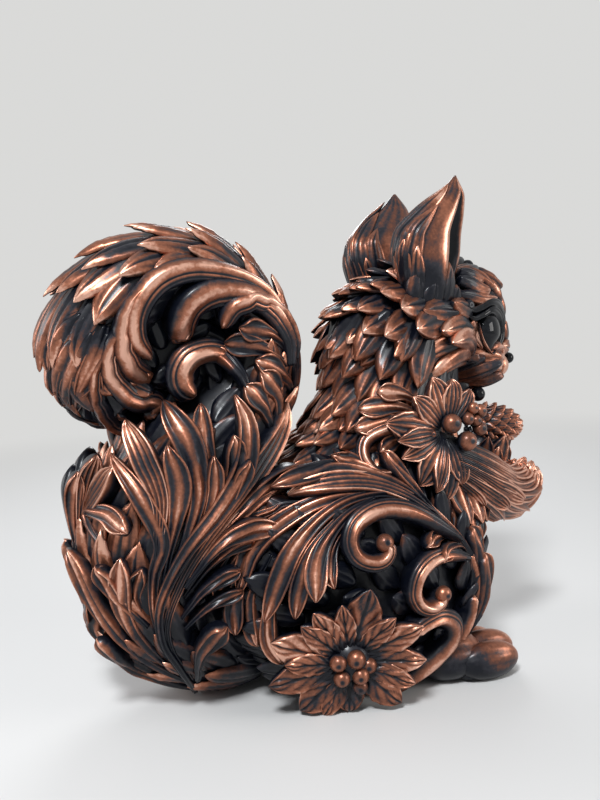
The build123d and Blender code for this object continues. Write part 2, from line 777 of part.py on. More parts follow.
def torso_seat(height, angle, tilt):
    """Return a seat for a leaf that hangs down the torso, at an angle from the squirrel's front."""
    after = next(index for index, stop in enumerate(torso_stops) if index and stop >= height)
    share = (height - torso_stops[after - 1]) / (torso_stops[after] - torso_stops[after - 1])
    lean, length, width = [
        torso_sections[after - 1][size] * (1 - share) + torso_sections[after][size] * share
        for size in (1, 2, 3)
    ]
    turned = radians(angle)
    point = Vector(lean + length * cos(turned), width * sin(turned), height)
    rise, shift, longer, wider = [
        above - below for below, above in zip(torso_sections[after - 1], torso_sections[after])
    ]
    rising = Vector(shift + longer * cos(turned), wider * sin(turned), rise)
    sideways = Vector(-length * sin(turned), width * cos(turned), 0)
    return seat(point, sideways.cross(rising), rising * -1, tilt)


back_leaf = leaf(back_leaf_length, back_leaf_width, leaf_thickness)
back_seats = []
for row, share in enumerate(back_row_shares):
    shifted = [angle + back_leaf_step / 2 for angle in back_leaf_angles[:-1]]
    for angle in shifted if row % 2 else back_leaf_angles:
        back_seats.append(torso_seat(share * torso_height, 180 + angle, leaf_tilt))
with BuildPart() as back_leaves:
    with Locations(*back_seats):
        add(back_leaf)
    add(body_core.part, mode=Mode.SUBTRACT)

chest_leaf = leaf(chest_leaf_length, chest_leaf_width, leaf_thickness)
chest_seats = [
    torso_seat(share * torso_height, angle, leaf_tilt)
    for share, angles in zip(chest_row_shares, chest_leaf_angles)
    for angle in angles
]
with BuildPart() as chest_leaves:
    with Locations(*chest_seats):
        add(chest_leaf)
    add(body_core.part, mode=Mode.SUBTRACT)


def head_seat(centre, sizes, around, above, heading, tilt):
    """Return a seat on an egg of the head, by the angle round from its front and above its middle."""
    turned, raised = radians(around), radians(above)
    ahead, aside, up = cos(turned) * cos(raised), sin(turned) * cos(raised), sin(raised)
    length, width, height = sizes
    place = on_head(centre[0] + length * ahead, centre[1] + width * aside, centre[2] + height * up)
    outward = head_ahead * (ahead / length) + head_plane.y_dir * (aside / width) + Vector(0, 0, up / height)
    return seat(place.origin, outward, heading, tilt)


# Ruff: rows of leaves round the back of the head, pointing back
ruff_leaf = leaf(ruff_leaf_length, ruff_leaf_width, leaf_thickness)
skull_sizes = (skull_half_length, skull_half_width, skull_half_height)
ruff_heading = head_ahead * -1 - Vector(0, 0, ruff_droop)
ruff_seats = []
for row, above in enumerate(ruff_row_angles):
    shifted = [angle + ruff_leaf_step / 2 for angle in ruff_leaf_angles[:-1]]
    for angle in shifted if row % 2 else ruff_leaf_angles:
        centre = (-skull_back, 0, 0)
        ruff_seats.append(head_seat(centre, skull_sizes, 180 + angle, above, ruff_heading, ruff_tilt))
with BuildPart() as ruff_leaves:
    with Locations(*ruff_seats):
        add(ruff_leaf)

# Cheeks: long leaves that spread back from the nose, and short ones over the brow
cheek_leaf = leaf(cheek_leaf_length, cheek_leaf_width, leaf_thickness)
muzzle_sizes = (muzzle_half_length, muzzle_half_width, muzzle_half_height)
cheek_seats = []
for above in cheek_leaf_angles:
    heading = head_ahead * -1 + Vector(0, 0, sin(radians(above)))
    centre = (muzzle_forward, 0, -muzzle_drop)
    cheek_seats.append(head_seat(centre, muzzle_sizes, cheek_start_angle, above, heading, cheek_tilt))
with BuildPart() as cheek_leaves_right:
    with Locations(*cheek_seats):
        add(cheek_leaf)
    for fixed in (head_core, nose_bulb, eyelid_right, eye_right):
        add(fixed.part, mode=Mode.SUBTRACT)

brow_leaf = leaf(brow_leaf_length, brow_leaf_width, leaf_thickness)
face_sizes = (face_half_length, face_half_width, face_half_height)
brow_heading = Vector(0, 0, 1) - head_ahead
brow_seats = []
for above in brow_row_angles:
    for angle in brow_leaf_angles:
        centre = (face_forward, 0, face_rise)
        brow_seats.append(head_seat(centre, face_sizes, angle, above, brow_heading, leaf_tilt))
with BuildPart() as brow_leaves:
    with Locations(*brow_seats):
        add(brow_leaf)
    add(head_core.part, mode=Mode.SUBTRACT)

right_pieces = {
    "haunch_frond": haunch_frond_right,
    "haunch_scroll": haunch_scroll_right,
    "front_scroll": front_scroll_right,
    "lower_scroll": lower_scroll_right,
    "haunch_flower": haunch_flower_right,
    "haunch_berries": haunch_berries_right,
    "shoulder_flower": shoulder_flower_right,
    "shoulder_berries": shoulder_berries_right,
    "shoulder_scroll": shoulder_scroll_right,
    "tail_frond": tail_frond_right,
    "tail_rear_frond": tail_rear_frond_right,
    "curl_ribs": curl_ribs_right,
    "curl_volute": curl_volute_right,
    "arm": arm_right,
    "foot": foot_right,
}
right_head_pieces = {
    "ear": ear_right,
    "eye": eye_right,
    "eyelid": eyelid_right,
    "cheek_leaves": cheek_leaves_right,
}
middle_pieces = {
    "body_core": body_core,
    "tail_core": tail_core,
    "head_core": head_core,
    "nose": nose,
    "nose_bulb": nose_bulb,
    "cone_core": cone_core,
    "cone_cup": cone_cup,
    "cone_scales": cone_scales,
    "cone_bead": cone_bead,
    "tail_curl_leaves": tail_curl_leaves,
    "tail_rear_leaves": tail_rear_leaves,
    "back_leaves": back_leaves,
    "chest_leaves": chest_leaves,
    "ruff_leaves": ruff_leaves,
    "brow_leaves": brow_leaves,
}


def save(name, part):
    """Label a piece and write it to its own file."""
    part.label = name
    print(name, round(part.volume), len(part.solids()), part.is_valid)
    export_step(part, f"parts/{name}.step")


for name, piece in middle_pieces.items():
    save(name, piece.part)
for pairs, middle in ((right_pieces, Plane.XZ), (right_head_pieces, head_middle)):
    for name, piece in pairs.items():
        save(f"{name}_right", piece.part)
        with BuildPart() as left_piece:
            mirror(piece.part, about=middle)
        save(f"{name}_left", left_piece.part)
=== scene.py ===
import math
import bpy
import numpy as np
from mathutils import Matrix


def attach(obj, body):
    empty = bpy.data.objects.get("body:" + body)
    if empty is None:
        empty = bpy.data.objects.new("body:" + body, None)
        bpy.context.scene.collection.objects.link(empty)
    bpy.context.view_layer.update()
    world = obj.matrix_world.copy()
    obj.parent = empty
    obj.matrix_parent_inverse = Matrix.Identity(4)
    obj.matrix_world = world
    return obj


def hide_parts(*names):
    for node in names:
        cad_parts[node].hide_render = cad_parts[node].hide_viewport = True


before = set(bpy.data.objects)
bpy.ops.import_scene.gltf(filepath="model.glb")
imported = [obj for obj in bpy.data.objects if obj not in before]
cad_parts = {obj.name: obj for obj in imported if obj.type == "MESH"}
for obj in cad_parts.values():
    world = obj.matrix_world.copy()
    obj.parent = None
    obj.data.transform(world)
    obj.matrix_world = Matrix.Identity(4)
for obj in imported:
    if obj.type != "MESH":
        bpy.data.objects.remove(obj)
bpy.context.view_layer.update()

# Lengths below are in millimetres and become metres when a mesh, lamp or camera is made.
# X points where the squirrel looks, Y to its left and Z up, as in the frame.
MM = 0.001
rng = np.random.default_rng(11)

# Camera, found from the slats and the table edge of the photograph
camera_place = np.array((-109.0, -270.0, 122.0))
camera_yaw, camera_pitch, camera_roll = 20.0, 4.7, 2.86
camera_focal_px, frame_long_px = 800.0, 800.0

# The main forms of the frame, as smooth surfaces to dress
haunch_middle = np.array((3.0, -20.0, 37.0))
haunch_sizes = np.array((44.0, 20.5, 39.5))
torso_sections = np.array((
    (0, 0, 24.2, 20.2), (13.8, 1.9, 33.9, 26), (36, 3.8, 39, 28), (58.3, 8, 35.9, 26.9),
    (76.3, 15, 30.8, 24.1), (92.2, 23, 25.7, 20.7), (106, 28, 23.4, 19)))
tail_sections = np.array((
    (-26, 13.5, 9, 12), (-44, 19.5, 17.1, 18), (-58, 36, 24.9, 23), (-60, 55.5, 28, 25),
    (-50, 78, 24.9, 23), (-37, 97.5, 17.1, 18), (-30, 115.5, 12, 16), (-34, 130.5, 12, 17),
    (-49, 141, 12.9, 19), (-67, 138, 15.1, 21), (-80, 124.5, 14, 19), (-81, 112.5, 10.1, 14),
    (-72, 103.5, 5.9, 9)))
curl_middle = np.array((-55.0, 0.0, 120.0))
curl_sizes = np.array((24.0, 11.0, 24.0))
head_origin = np.array((38.0, 3.0, 123.0))
head_turn = math.radians(8)

# The head's own directions
ahead = np.array((math.cos(head_turn), math.sin(head_turn), 0))
aside = np.array((-math.sin(head_turn), math.cos(head_turn), 0))
above = np.array((0.0, 0.0, 1.0))
head_ways = np.stack((ahead, aside, above))


def unit(v):
    """Return vectors of length one."""
    v = np.asarray(v, float)
    return v / np.maximum(np.linalg.norm(v, axis=-1, keepdims=True), 1e-9)


def smooth(points, count):
    """Return even steps along a smooth curve through the points."""
    pts = np.asarray(points, float)
    ends = np.vstack((2 * pts[0] - pts[1], pts, 2 * pts[-1] - pts[-2]))
    steps_between = 24
    out = []
    for k in range(len(pts) - 1):
        a, b, c, d = ends[k:k + 4]
        for u in np.linspace(0, 1, steps_between, endpoint=False):
            out.append(0.5 * (2 * b + (c - a) * u + (2 * a - 5 * b + 4 * c - d) * u**2
                              + (3 * b - a - 3 * c + d) * u**3))
    out.append(pts[-1])
    out = np.array(out)
    run = np.concatenate(([0], np.cumsum(np.linalg.norm(np.diff(out, axis=0), axis=1))))
    at = np.linspace(0, run[-1], count)
    return np.stack([np.interp(at, run, out[:, i]) for i in range(out.shape[1])], 1)


def even_out(values):
    """Smooth a row of values in place, three times over."""
    for _ in range(3):
        values[1:-1] = (values[:-2] + values[1:-1] + values[2:]) / 3


def read_at(table, at):
    """Return the other columns of a table at a value of its first column."""
    return [np.interp(at, table[:, 0], table[:, k]) for k in range(1, table.shape[1])]


def ease(low, high, x):
    """Return a smooth rise from 0 at low to 1 at high."""
    u = np.clip((x - low) / (high - low), 0, 1)
    return u * u * (3 - 2 * u)


def hill(x, middle, width):
    """Return a smooth hill of height one."""
    return np.exp(-((x - middle) / width) ** 2)


def wobble(size):
    """Return a small seeded difference from one leaf to the next."""
    return float(rng.uniform(-size, size))


def polar(rings, around):
    """Return angles from pole to pole, as a column, and all the way round, as a row."""
    u = math.pi * (np.arange(rings) + 0.5)[:, None] / rings
    v = 2 * math.pi * np.arange(around)[None, :] / around
    return u, v


def scattered(count):
    """Yield directions spread evenly over a ball."""
    golden_turn = math.pi * (3 - math.sqrt(5))
    for k in range(count):
        height = 1 - 2 * (k + 0.5) / count
        level = math.sqrt(1 - height * height)
        yield math.cos(k * golden_turn) * level, math.sin(k * golden_turn) * level, height


def staggered(row, widest, step, shift, limit):
    """Yield angles from one side to the other, moved over on every second row."""
    for angle in range(-widest, widest + 1, step):
        moved = angle + (0 if row % 2 else shift)
        if abs(moved) <= limit:
            yield moved


# Heaps of closed meshes, one heap for each piece that stands for a node of the frame
heaps = {}


def put(name, mesh):
    """Add a mesh (places, faces, caps, rub) to the named heap."""
    heaps.setdefault(name, []).append(mesh)


def closed(rings, ends, rub, end_rub, leaf_way=False):
    """Return a mesh over rings of places, with a point at each end. Strips run leaf_way round."""
    count, around = rings.shape[:2]
    index = np.arange(count * around).reshape(count, around)
    nxt = np.roll(index, -1, axis=1)
    corners = (index[:-1], index[1:], nxt[1:], nxt[:-1])
    near, far = index, nxt
    if leaf_way:
        corners = corners[:1] + corners[:0:-1]
        near, far = nxt, index
    caps = [(near[0, k], far[0, k], index.size) for k in range(around)]
    caps += [(far[-1, k], near[-1, k], index.size + 1) for k in range(around)]
    places = np.vstack((rings.reshape(-1, 3), ends))
    return places, np.stack(corners, -1).reshape(-1, 4), caps, np.concatenate((rub.reshape(-1), end_rub))


def inside_out(mesh):
    """Return a mesh with its faces turned the other way."""
    places, faces, caps, rub = mesh
    return places, faces[:, ::-1], [cap[::-1] for cap in caps], rub


def mirrored(mesh, of_head=False):
    """Return a mesh mirrored about the middle plane of the body or of the head."""
    places = mesh[0]
    if of_head:
        across = (places - head_origin) @ aside
        moved = places - 2 * across[:, None] * aside
    else:
        moved = places * np.array((1, -1, 1))
    return inside_out((moved, *mesh[1:]))


# Places of a strip's underside, as shares of its half width
underside = (0.9, 0.45, -0.45, -0.9)


def strip(spine, normals, half_widths, profile, depth, columns=15):
    """Return a closed strip: a carved top over a plain underside, narrowing to both its ends."""
    count = len(spine)
    t = np.linspace(0, 1, count)[:, None]
    a = np.linspace(-1, 1, columns)[None, :]
    tangents = unit(np.gradient(spine, axis=0))
    normals = unit(normals - tangents * np.sum(normals * tangents, 1, keepdims=True))
    sides = np.cross(tangents, normals)
    half = half_widths[:, None]
    thin = np.clip(half / (0.55 * half.max()), 0, 1) ** 0.8
    rise, rub = profile(a, t)
    rise = rise * thin
    top = spine[:, None] + sides[:, None] * (a * half)[..., None] + normals[:, None] * rise[..., None]
    b = np.array(underside)[None, :]
    drop = np.asarray(depth, float).reshape(-1, 1) * (0.12 + 0.88 * thin)
    under = (spine[:, None] + sides[:, None] * (b * half)[..., None]
             - normals[:, None] * (drop * (1.05 - 0.25 * b * b))[..., None])
    ring = np.concatenate((top, under), 1)
    rub = np.concatenate((np.clip(rub, 0, 1), np.zeros((count, len(underside)))), 1)
    return closed(ring, (ring[0].mean(0), ring[-1].mean(0)), rub, (0, rub[-1].max()), leaf_way=True)


def grid_mesh(rings, rub):
    """Return a closed mesh over rings of places, with a point in the middle of each end ring."""
    end_rub = np.clip((rub[0].mean(), rub[-1].mean()), 0, 1)
    return closed(rings, (rings[0].mean(0), rings[-1].mean(0)), np.clip(rub, 0, 1), end_rub)


def knob(centre, outward, radius, rub_level, dimple=0.18, rings=14, around=22):
    """Return a turned bead with a small dimple at its outer end."""
    outward = unit(outward)
    other = unit(np.cross(outward, (0.3, 0.2, 1.0)))
    third = np.cross(outward, other)
    u, v = polar(rings, around)
    height = radius * np.cos(u) - dimple * radius * np.exp(-(u / 0.25) ** 2)
    aslant = other * np.cos(v)[..., None] + third * np.sin(v)[..., None]
    places = centre + outward * height[..., None] + aslant * (radius * np.sin(u))[..., None]
    rub = rub_level * (0.25 + 0.75 * ease(-0.5, 0.5, np.cos(u))) - 0.5 * np.exp(-(u / 0.22) ** 2) + 0 * v
    ends = (centre + outward * radius * (1 - dimple), centre - outward * radius)
    return closed(places, ends, np.clip(rub, 0, 1), (0.2, 0.0))


# Carved profiles: height in millimetres and how far the lacquer is rubbed back to copper
def blade_profile(height, ribs=1):
    """A fluted blade: rounded ribs between two rims, and an end that opens like a spoon."""
    def cut(a, t):
        body = np.sqrt(np.clip(1 - (0.96 * a) ** 2, 0, 1))
        rim = hill(np.abs(a), 0.86, 0.11)
        flute = 0.5 + 0.5 * np.cos(math.pi * (2 * ribs - 1) * a / 0.66)
        swell = 0.6 + 0.4 * ease(0, 0.3, t)
        open_end = 0.8 * ease(0.5, 0.9, t) * (a * a - 0.4)
        rise = height * ((0.56 * body + 0.36 * flute * body + 0.17 * rim) * swell + open_end)
        rub = (0.26 + 0.42 * flute + 0.3 * rim) * (0.3 + 0.7 * ease(0.03, 0.45, t)) + 0.24 * ease(0.75, 1, t)
        return rise, rub
    return cut


def band_profile(height, side=1):
    """A rounded band with two fine grooves towards its inner side."""
    def cut(a, t):
        s = a * side
        body = np.sqrt(np.clip(1 - (0.97 * a) ** 2, 0, 1))
        grooves = hill(s, 0.34, 0.07) + 0.9 * hill(s, 0.64, 0.06)
        crest = 0.22 * hill(s, -0.3, 0.35)
        rise = height * (0.85 * body + crest - 0.16 * grooves)
        rub = 0.5 * body - 0.5 * grooves + 0.25 * hill(s, 0.49, 0.08) + 0.26 * hill(s, -0.3, 0.42) + 0.1
        rub = rub * (0.4 + 0.6 * ease(0.02, 0.3, t))
        return rise, rub
    return cut


def leaf_profile(height, cup=0.8):
    """A short leaf: a soft pillow with a crease down its middle, two lesser ones and thin rims."""
    def cut(a, t):
        body = np.clip(1 - a * a, 0, 1) ** 0.7
        crease = hill(a, 0, 0.11) * ease(0, 0.2, t) * (1 - ease(0.8, 1, t))
        lesser = hill(np.abs(a), 0.52, 0.08) * ease(0.15, 0.4, t) * (1 - ease(0.6, 0.9, t))
        rim = hill(np.abs(a), 0.9, 0.09)
        rise = height * (0.78 * body + 0.2 * rim - 0.26 * crease - 0.12 * lesser) - cup * a * a
        rub = (0.6 * ease(0.12, 0.6, t) + 0.14 * rim - 0.45 * crease - 0.2 * lesser + 0.22 * ease(0.7, 1, t)
               - 0.06)
        return rise, rub
    return cut


def petal_profile(height, veins):
    """A toothed petal with a middle vein, slanting side veins and a raised edge."""
    def cut(a, t):
        edge = ease(0.76, 1.0, np.abs(a))
        slant = (t * veins - np.abs(a) * 1.5) % 1.0
        vein = hill(slant, 0.5, 0.16) * (1 - 0.5 * edge) * ease(0.08, 0.25, t)
        middle = hill(a, 0, 0.09)
        rise = height * (0.45 + 0.5 * (1 - a * a) + 0.35 * edge - 0.24 * vein - 0.35 * middle)
        rub = 0.68 * ease(0.12, 0.5, t) + 0.18 * edge + 0.06 - 0.26 * vein - 0.5 * middle
        return rise, rub
    return cut


def dulled(profile, share):
    """Return a profile with less of its lacquer rubbed away."""
    def cut(a, t):
        rise, rub = profile(a, t)
        return rise, rub * share
    return cut


def rubbed(profile, least):
    """Return a profile rubbed at least this far all over."""
    def cut(a, t):
        rise, rub = profile(a, t)
        return rise, least + (1 - least) * rub
    return cut


# How wide a strip is along its length, as (place, share of its width)
blade_shares = ((0, 0.24), (0.3, 0.36), (0.5, 0.52), (0.68, 0.84), (0.8, 1), (0.87, 0.95), (0.93, 0.78),
                (0.97, 0.5), (1, 0.1))
band_shares = ((0, 0.4), (0.15, 0.85), (0.4, 1), (0.7, 0.88), (0.9, 0.7), (0.97, 0.58), (0.99, 0.4),
               (1, 0.12))
leaf_shares = ((0, 0.4), (0.12, 0.68), (0.3, 0.95), (0.45, 1), (0.62, 0.9), (0.78, 0.66), (0.9, 0.36),
               (0.97, 0.14), (1, 0.02))
petal_shares = ((0, 0.25), (0.15, 0.5), (0.26, 0.68), (0.3, 0.6), (0.42, 0.92), (0.46, 0.82), (0.6, 1),
                (0.64, 0.86), (0.76, 0.82), (0.8, 0.66), (0.9, 0.46), (1, 0.03))
scroll_shares = ((0, 0.4), (0.15, 0.85), (0.4, 1), (0.7, 0.9), (0.9, 0.8), (0.985, 0.72), (1, 0.3))
lobe_shares = ((0, 0.3), (0.15, 0.55), (0.4, 0.8), (0.7, 0.95), (0.86, 1), (0.94, 0.88), (0.985, 0.52),
               (1, 0.12))
fold_shares = ((0, 0.3), (0.3, 0.8), (0.6, 1), (0.85, 0.8), (1, 0.2))
lid_shares = ((0, 0.15), (0.15, 0.75), (0.5, 1), (0.8, 0.8), (1, 0.1))
rim_shares = ((0, 0.2), (0.5, 1), (1, 0.2))


def halves(count, shares, width):
    """Return half widths along a strip, with the corners of its table of shares smoothed away."""
    share, = read_at(np.array(shares, float), np.linspace(0, 1, count))
    for _ in range(2):
        share[1:-1] = (share[:-2] + 2 * share[1:-1] + share[2:]) / 4
    return share * width / 2


def off_middle(x, z, middle, sizes):
    """Return how far from an egg's middle a side-view place lies, squared: 1 is the egg's outline."""
    return ((x - middle[0]) / sizes[0]) ** 2 + ((z - middle[2]) / sizes[2]) ** 2


# Surfaces seen from the right side: how far out in -Y the form reaches at each (x, z)
def haunch_side_reach(x, z):
    r2 = off_middle(x, z, haunch_middle, haunch_sizes)
    dome = haunch_sizes[1] * np.sqrt(np.clip(1 - r2, 0.035, 1))
    return -haunch_middle[1] + dome - 9 * np.clip(r2 - 0.965, 0, 1)


def torso_side_reach(x, z):
    lean, length, width = read_at(torso_sections, z)
    return width * np.sqrt(np.clip(1 - ((x - lean) / length) ** 2, 0.03, 1))


def shoulder_side_reach(x, z):
    return torso_side_reach(x, z) + 4


tail_line = smooth(tail_sections, 121)


def tail_side_reach(x, z):
    best = curl_sizes[1] * np.sqrt(np.clip(1 - off_middle(x, z, curl_middle, curl_sizes), 0.0, 1))
    for cx, cz, depth, width in tail_line[::2]:
        r2 = ((x - cx) ** 2 + (z - cz) ** 2) / (depth * depth)
        reach = width * np.sqrt(np.clip(1 - r2, 0.0, 1)) - 6 * np.clip(r2 - 1, 0, 1.4)
        best = np.maximum(best, reach)
    return best


def drape(path, reach, count, lift, tip, power):
    """Lay a side-view path on the right side of a form. Return its places and normals."""
    flat = smooth(path, count)
    x, z = flat[:, 0], flat[:, 1]
    step, steepest = 1.5, 1.6
    beside = [reach(x + dx, z + dz) for dx, dz in ((step, 0), (-step, 0), (0, step), (0, -step))]
    out = sum(beside, reach(x, z)) / 5
    gx = np.clip((beside[0] - beside[1]) / (2 * step), -steepest, steepest)
    gz = np.clip((beside[2] - beside[3]) / (2 * step), -steepest, steepest)
    for values in (out, gx, gz):
        even_out(values)
    places = np.stack((x, -out, z), 1)
    normals = unit(np.stack((-gx, -np.ones_like(gx), -gz), 1))
    rise = lift + tip * np.linspace(0, 1, count) ** power
    return places + normals * rise[:, None], normals


def blade(name, path, width, reach, lift, tip, height, ribs=1, count=34, depth=5.0, shares=blade_shares):
    """Add a carved blade whose tip stands away from the surface."""
    places, normals = drape(path, reach, count, lift, tip, power=3)
    tapered = depth * (1 - 0.6 * np.linspace(0, 1, count))
    put(name, strip(places, normals, halves(count, shares, width), blade_profile(height, ribs), tapered))


def band(name, path, width, reach, lift, tip, height, side=1, count=60, shares=band_shares, ball=0.0):
    """Add a rounded band, such as a scroll, with a ball at its end."""
    places, normals = drape(path, reach, count, lift, tip, power=2)
    put(name, strip(places, normals, halves(count, shares, width), band_profile(height, side), depth=6.0,
                    columns=19))
    if ball:
        middle = places[-1] + normals[-1] * (height * 0.3)
        put(name, knob(middle, normals[-1], ball, rub_level=0.6, dimple=0.03))


def free_leaf(name, root, heading, outward, length, width, profile, lift, curl, shares=leaf_shares,
              count=24, depth=1.6, columns=13):
    """Add a leaf from its root along a heading: it follows the surface, then its tip curls out."""
    outward = unit(outward)
    heading = unit(np.asarray(heading) - outward * np.dot(heading, outward))
    t = np.linspace(0, 1, count)[:, None]
    spine = root + heading * length * t + outward * length * (lift * t + curl * t ** 3)
    normals = unit(outward + heading * (-lift - curl * 3 * t * t))
    tapered = depth * (1 - 0.5 * t[:, 0])
    put(name, strip(spine, normals, halves(count, shares, width), profile, tapered, columns))


# Haunch: side-view paths in (x, z), read off the photograph at the carving's depth
haunch_blades = (
    # path, width, tip lift, ribs
    (((34, 29), (35, 40), (30, 49), (20, 59), (9.5, 66.5), (-0.5, 70), (-12, 70), (-24, 67)), 6.5, 3, 2),
    (((24, 55), (10, 68), (-4, 73), (-18, 74), (-30, 71)), 5.5, 4, 1),
    (((30, 49), (19, 60), (6, 66), (-8, 67.5), (-20, 65), (-31, 58), (-38, 50), (-43, 40)), 6.5, 4, 1),
    (((22, 57), (8, 66), (-6, 66.5), (-17, 62), (-26, 54), (-31, 45), (-35, 33)), 6.0, 3, 1),
    (((8, 66), (-4, 65.5), (-14, 60), (-22, 52), (-26.5, 42), (-28, 34)), 5.5, 4, 1),
    (((0, 66), (-10, 62), (-18, 55), (-21.5, 48), (-22.5, 39.5)), 6.5, 6, 1),
    (((-4, 64.5), (-12, 58), (-16.5, 52), (-18, 46), (-17, 42)), 4.5, 5, 1),
    (((-20, 66), (-32, 64), (-42, 60), (-50, 53)), 5.5, 4, 1),
    (((-26, 62), (-38, 56), (-45, 48), (-49, 38)), 5.5, 4, 1),
    (((-30, 57), (-40, 48), (-44, 38), (-44, 28)), 5.5, 3, 1),
    (((-33, 52), (-38, 42), (-39, 32), (-36, 24)), 5.0, 3, 1),
    (((-22, 58), (-30, 49), (-34, 38), (-34, 27), (-30, 20)), 5.0, 3, 1),
    (((16, 62), (6, 70.5), (-2, 75), (-10, 79)), 5.0, 4, 1),
    (((20, 60), (12, 69), (6, 75)), 4.0, 4, 1),
    (((31, 47), (26, 51), (19, 52.5), (14, 50)), 4.5, 4, 1),
    (((33, 42), (28, 47.5), (22, 48), (18, 45)), 4.0, 4, 1),
    (((34, 31), (37, 38), (38, 45), (36, 52)), 6.5, 0, 1),
    (((31, 16), (37, 24), (39.5, 34), (39, 43)), 7.0, 0, 1),
)
frond_fullness = 1.22
# How high a blade lies over the form, by turns, so that neighbours overlap
layers = (2.2, 3.8, 1.4, 3.0)
for k, (path, width, tip, ribs) in enumerate(haunch_blades):
    blade("haunch_frond_right", path, width * frond_fullness, haunch_side_reach, lift=layers[k % 4], tip=tip,
          ribs=ribs, height=3.2, depth=6)

# Darker, lower leaves over the whole haunch, flowing up and back from its front foot
flow_start = np.array((36.0, -32.0, 12.0))
haunch_under_leaves = 190
for d in scattered(haunch_under_leaves):
    if d[1] > 0.12 or d[2] < -0.86:
        continue
    place = haunch_middle + d * haunch_sizes
    out = d / haunch_sizes
    free_leaf("haunch_frond_right", place - unit(out) * 0.6, place - flow_start, out, 13.5 + wobble(1.5),
              9.5, dulled(leaf_profile(1.8), 0.5), lift=0.3, curl=-0.04, count=16)

# Scrolls of the haunch
band("haunch_scroll_right", ((27, 50), (15, 58.5), (7, 62), (-1, 62.5), (-8, 59.5), (-10.8, 54.5),
                             (-9.5, 50.2), (-5.5, 48), (-1.5, 48.4), (0.6, 51.2), (-0.8, 53.4)),
     7.0, haunch_side_reach, lift=4.4, tip=1.2, height=3.6, shares=scroll_shares, ball=3.0)
band("front_scroll_right", ((30, 44), (22, 46.5), (15, 46), (10, 42.5), (8, 37.5), (9.6, 33.4),
                            (13.6, 31.5), (17, 32.8), (17.6, 35.6)),
     6.2, haunch_side_reach, lift=4.2, tip=1.5, height=3.4, shares=scroll_shares, ball=2.8)
band("front_scroll_right", ((35, 14), (38, 24), (38, 34), (34, 44)),
     7.5, haunch_side_reach, lift=1.5, tip=0, height=2.6)
band("lower_scroll_right", ((1, 4), (9, 7), (18, 12), (24, 18), (23.5, 24), (18, 27.8), (11, 27),
                            (7.5, 24.5)),
     8.0, haunch_side_reach, lift=3.6, tip=1.6, height=3.6)
band("lower_scroll_right", ((4, 3), (15, 7), (26, 12), (33, 20), (35, 30)),
     7.0, haunch_side_reach, lift=2.2, tip=0, height=3.0)

# Flower low on the haunch: each petal's tip in (x, z), its width and its lift as a share of its length
flower_root = np.array((-13.0, -40.5, 17.0))
flower_out = unit((-0.35, -1.0, -0.12))
haunch_petals = (
    ((-6, 42), 10.5, 0.22), ((-37, 26), 10, 0.2), ((9, 30), 7.5, 0.25), ((-38, 12), 8.5, 0.16),
    ((-29, 3), 10, 0.1), ((-14, 1), 8, 0.1), ((3, 4), 9, 0.14), ((10, 19), 7.5, 0.22), ((-24, 36), 7, 0.3),
    ((-15, 38), 6, 0.3), ((-28, 32), 6.5, 0.32), ((1, 33), 6, 0.32), ((-33, 19), 6.5, 0.26),
    ((7, 11), 6.5, 0.2), ((-22, 0.8), 6.5, 0.12),
)
petal_fullness = 1.25
lower_petals_under = 22
for (x, z), width, lift in haunch_petals:
    aim = np.array((x, flower_root[1], z)) - flower_root
    length = float(np.linalg.norm(aim))
    shown = petal_profile(2.3, 4) if z > lower_petals_under else dulled(petal_profile(2.3, 4), 0.88)
    free_leaf("haunch_flower_right", flower_root + unit(aim) * 3, aim, flower_out, (length - 3) * 1.06,
              width * petal_fullness, shown, lift=lift * 0.75 - 0.02, curl=lift * 0.4, shares=petal_shares,
              count=40, depth=3.0, columns=17)
put("haunch_flower_right", knob(flower_root - flower_out * 3.5, flower_out, 8.5, rub_level=0.3, dimple=0))
haunch_berries = (
    # place from the flower's root, radius
    (0, -4, 0, 3.7), (-6.8, -3.2, -0.5, 3.3), (1.5, -4, -6.2, 3.4), (-5.5, -3, -6.5, 3.2),
    (5.5, -3, -3.5, 3.3), (2, -2.5, -11, 3.0))
for x, y, z, radius in haunch_berries:
    berry = flower_root + (x * 0.85 + 0.5, y, z * 0.9 + 2)
    put("haunch_berries_right", knob(berry, flower_out, radius * 0.85, rub_level=0.62, dimple=0.06))

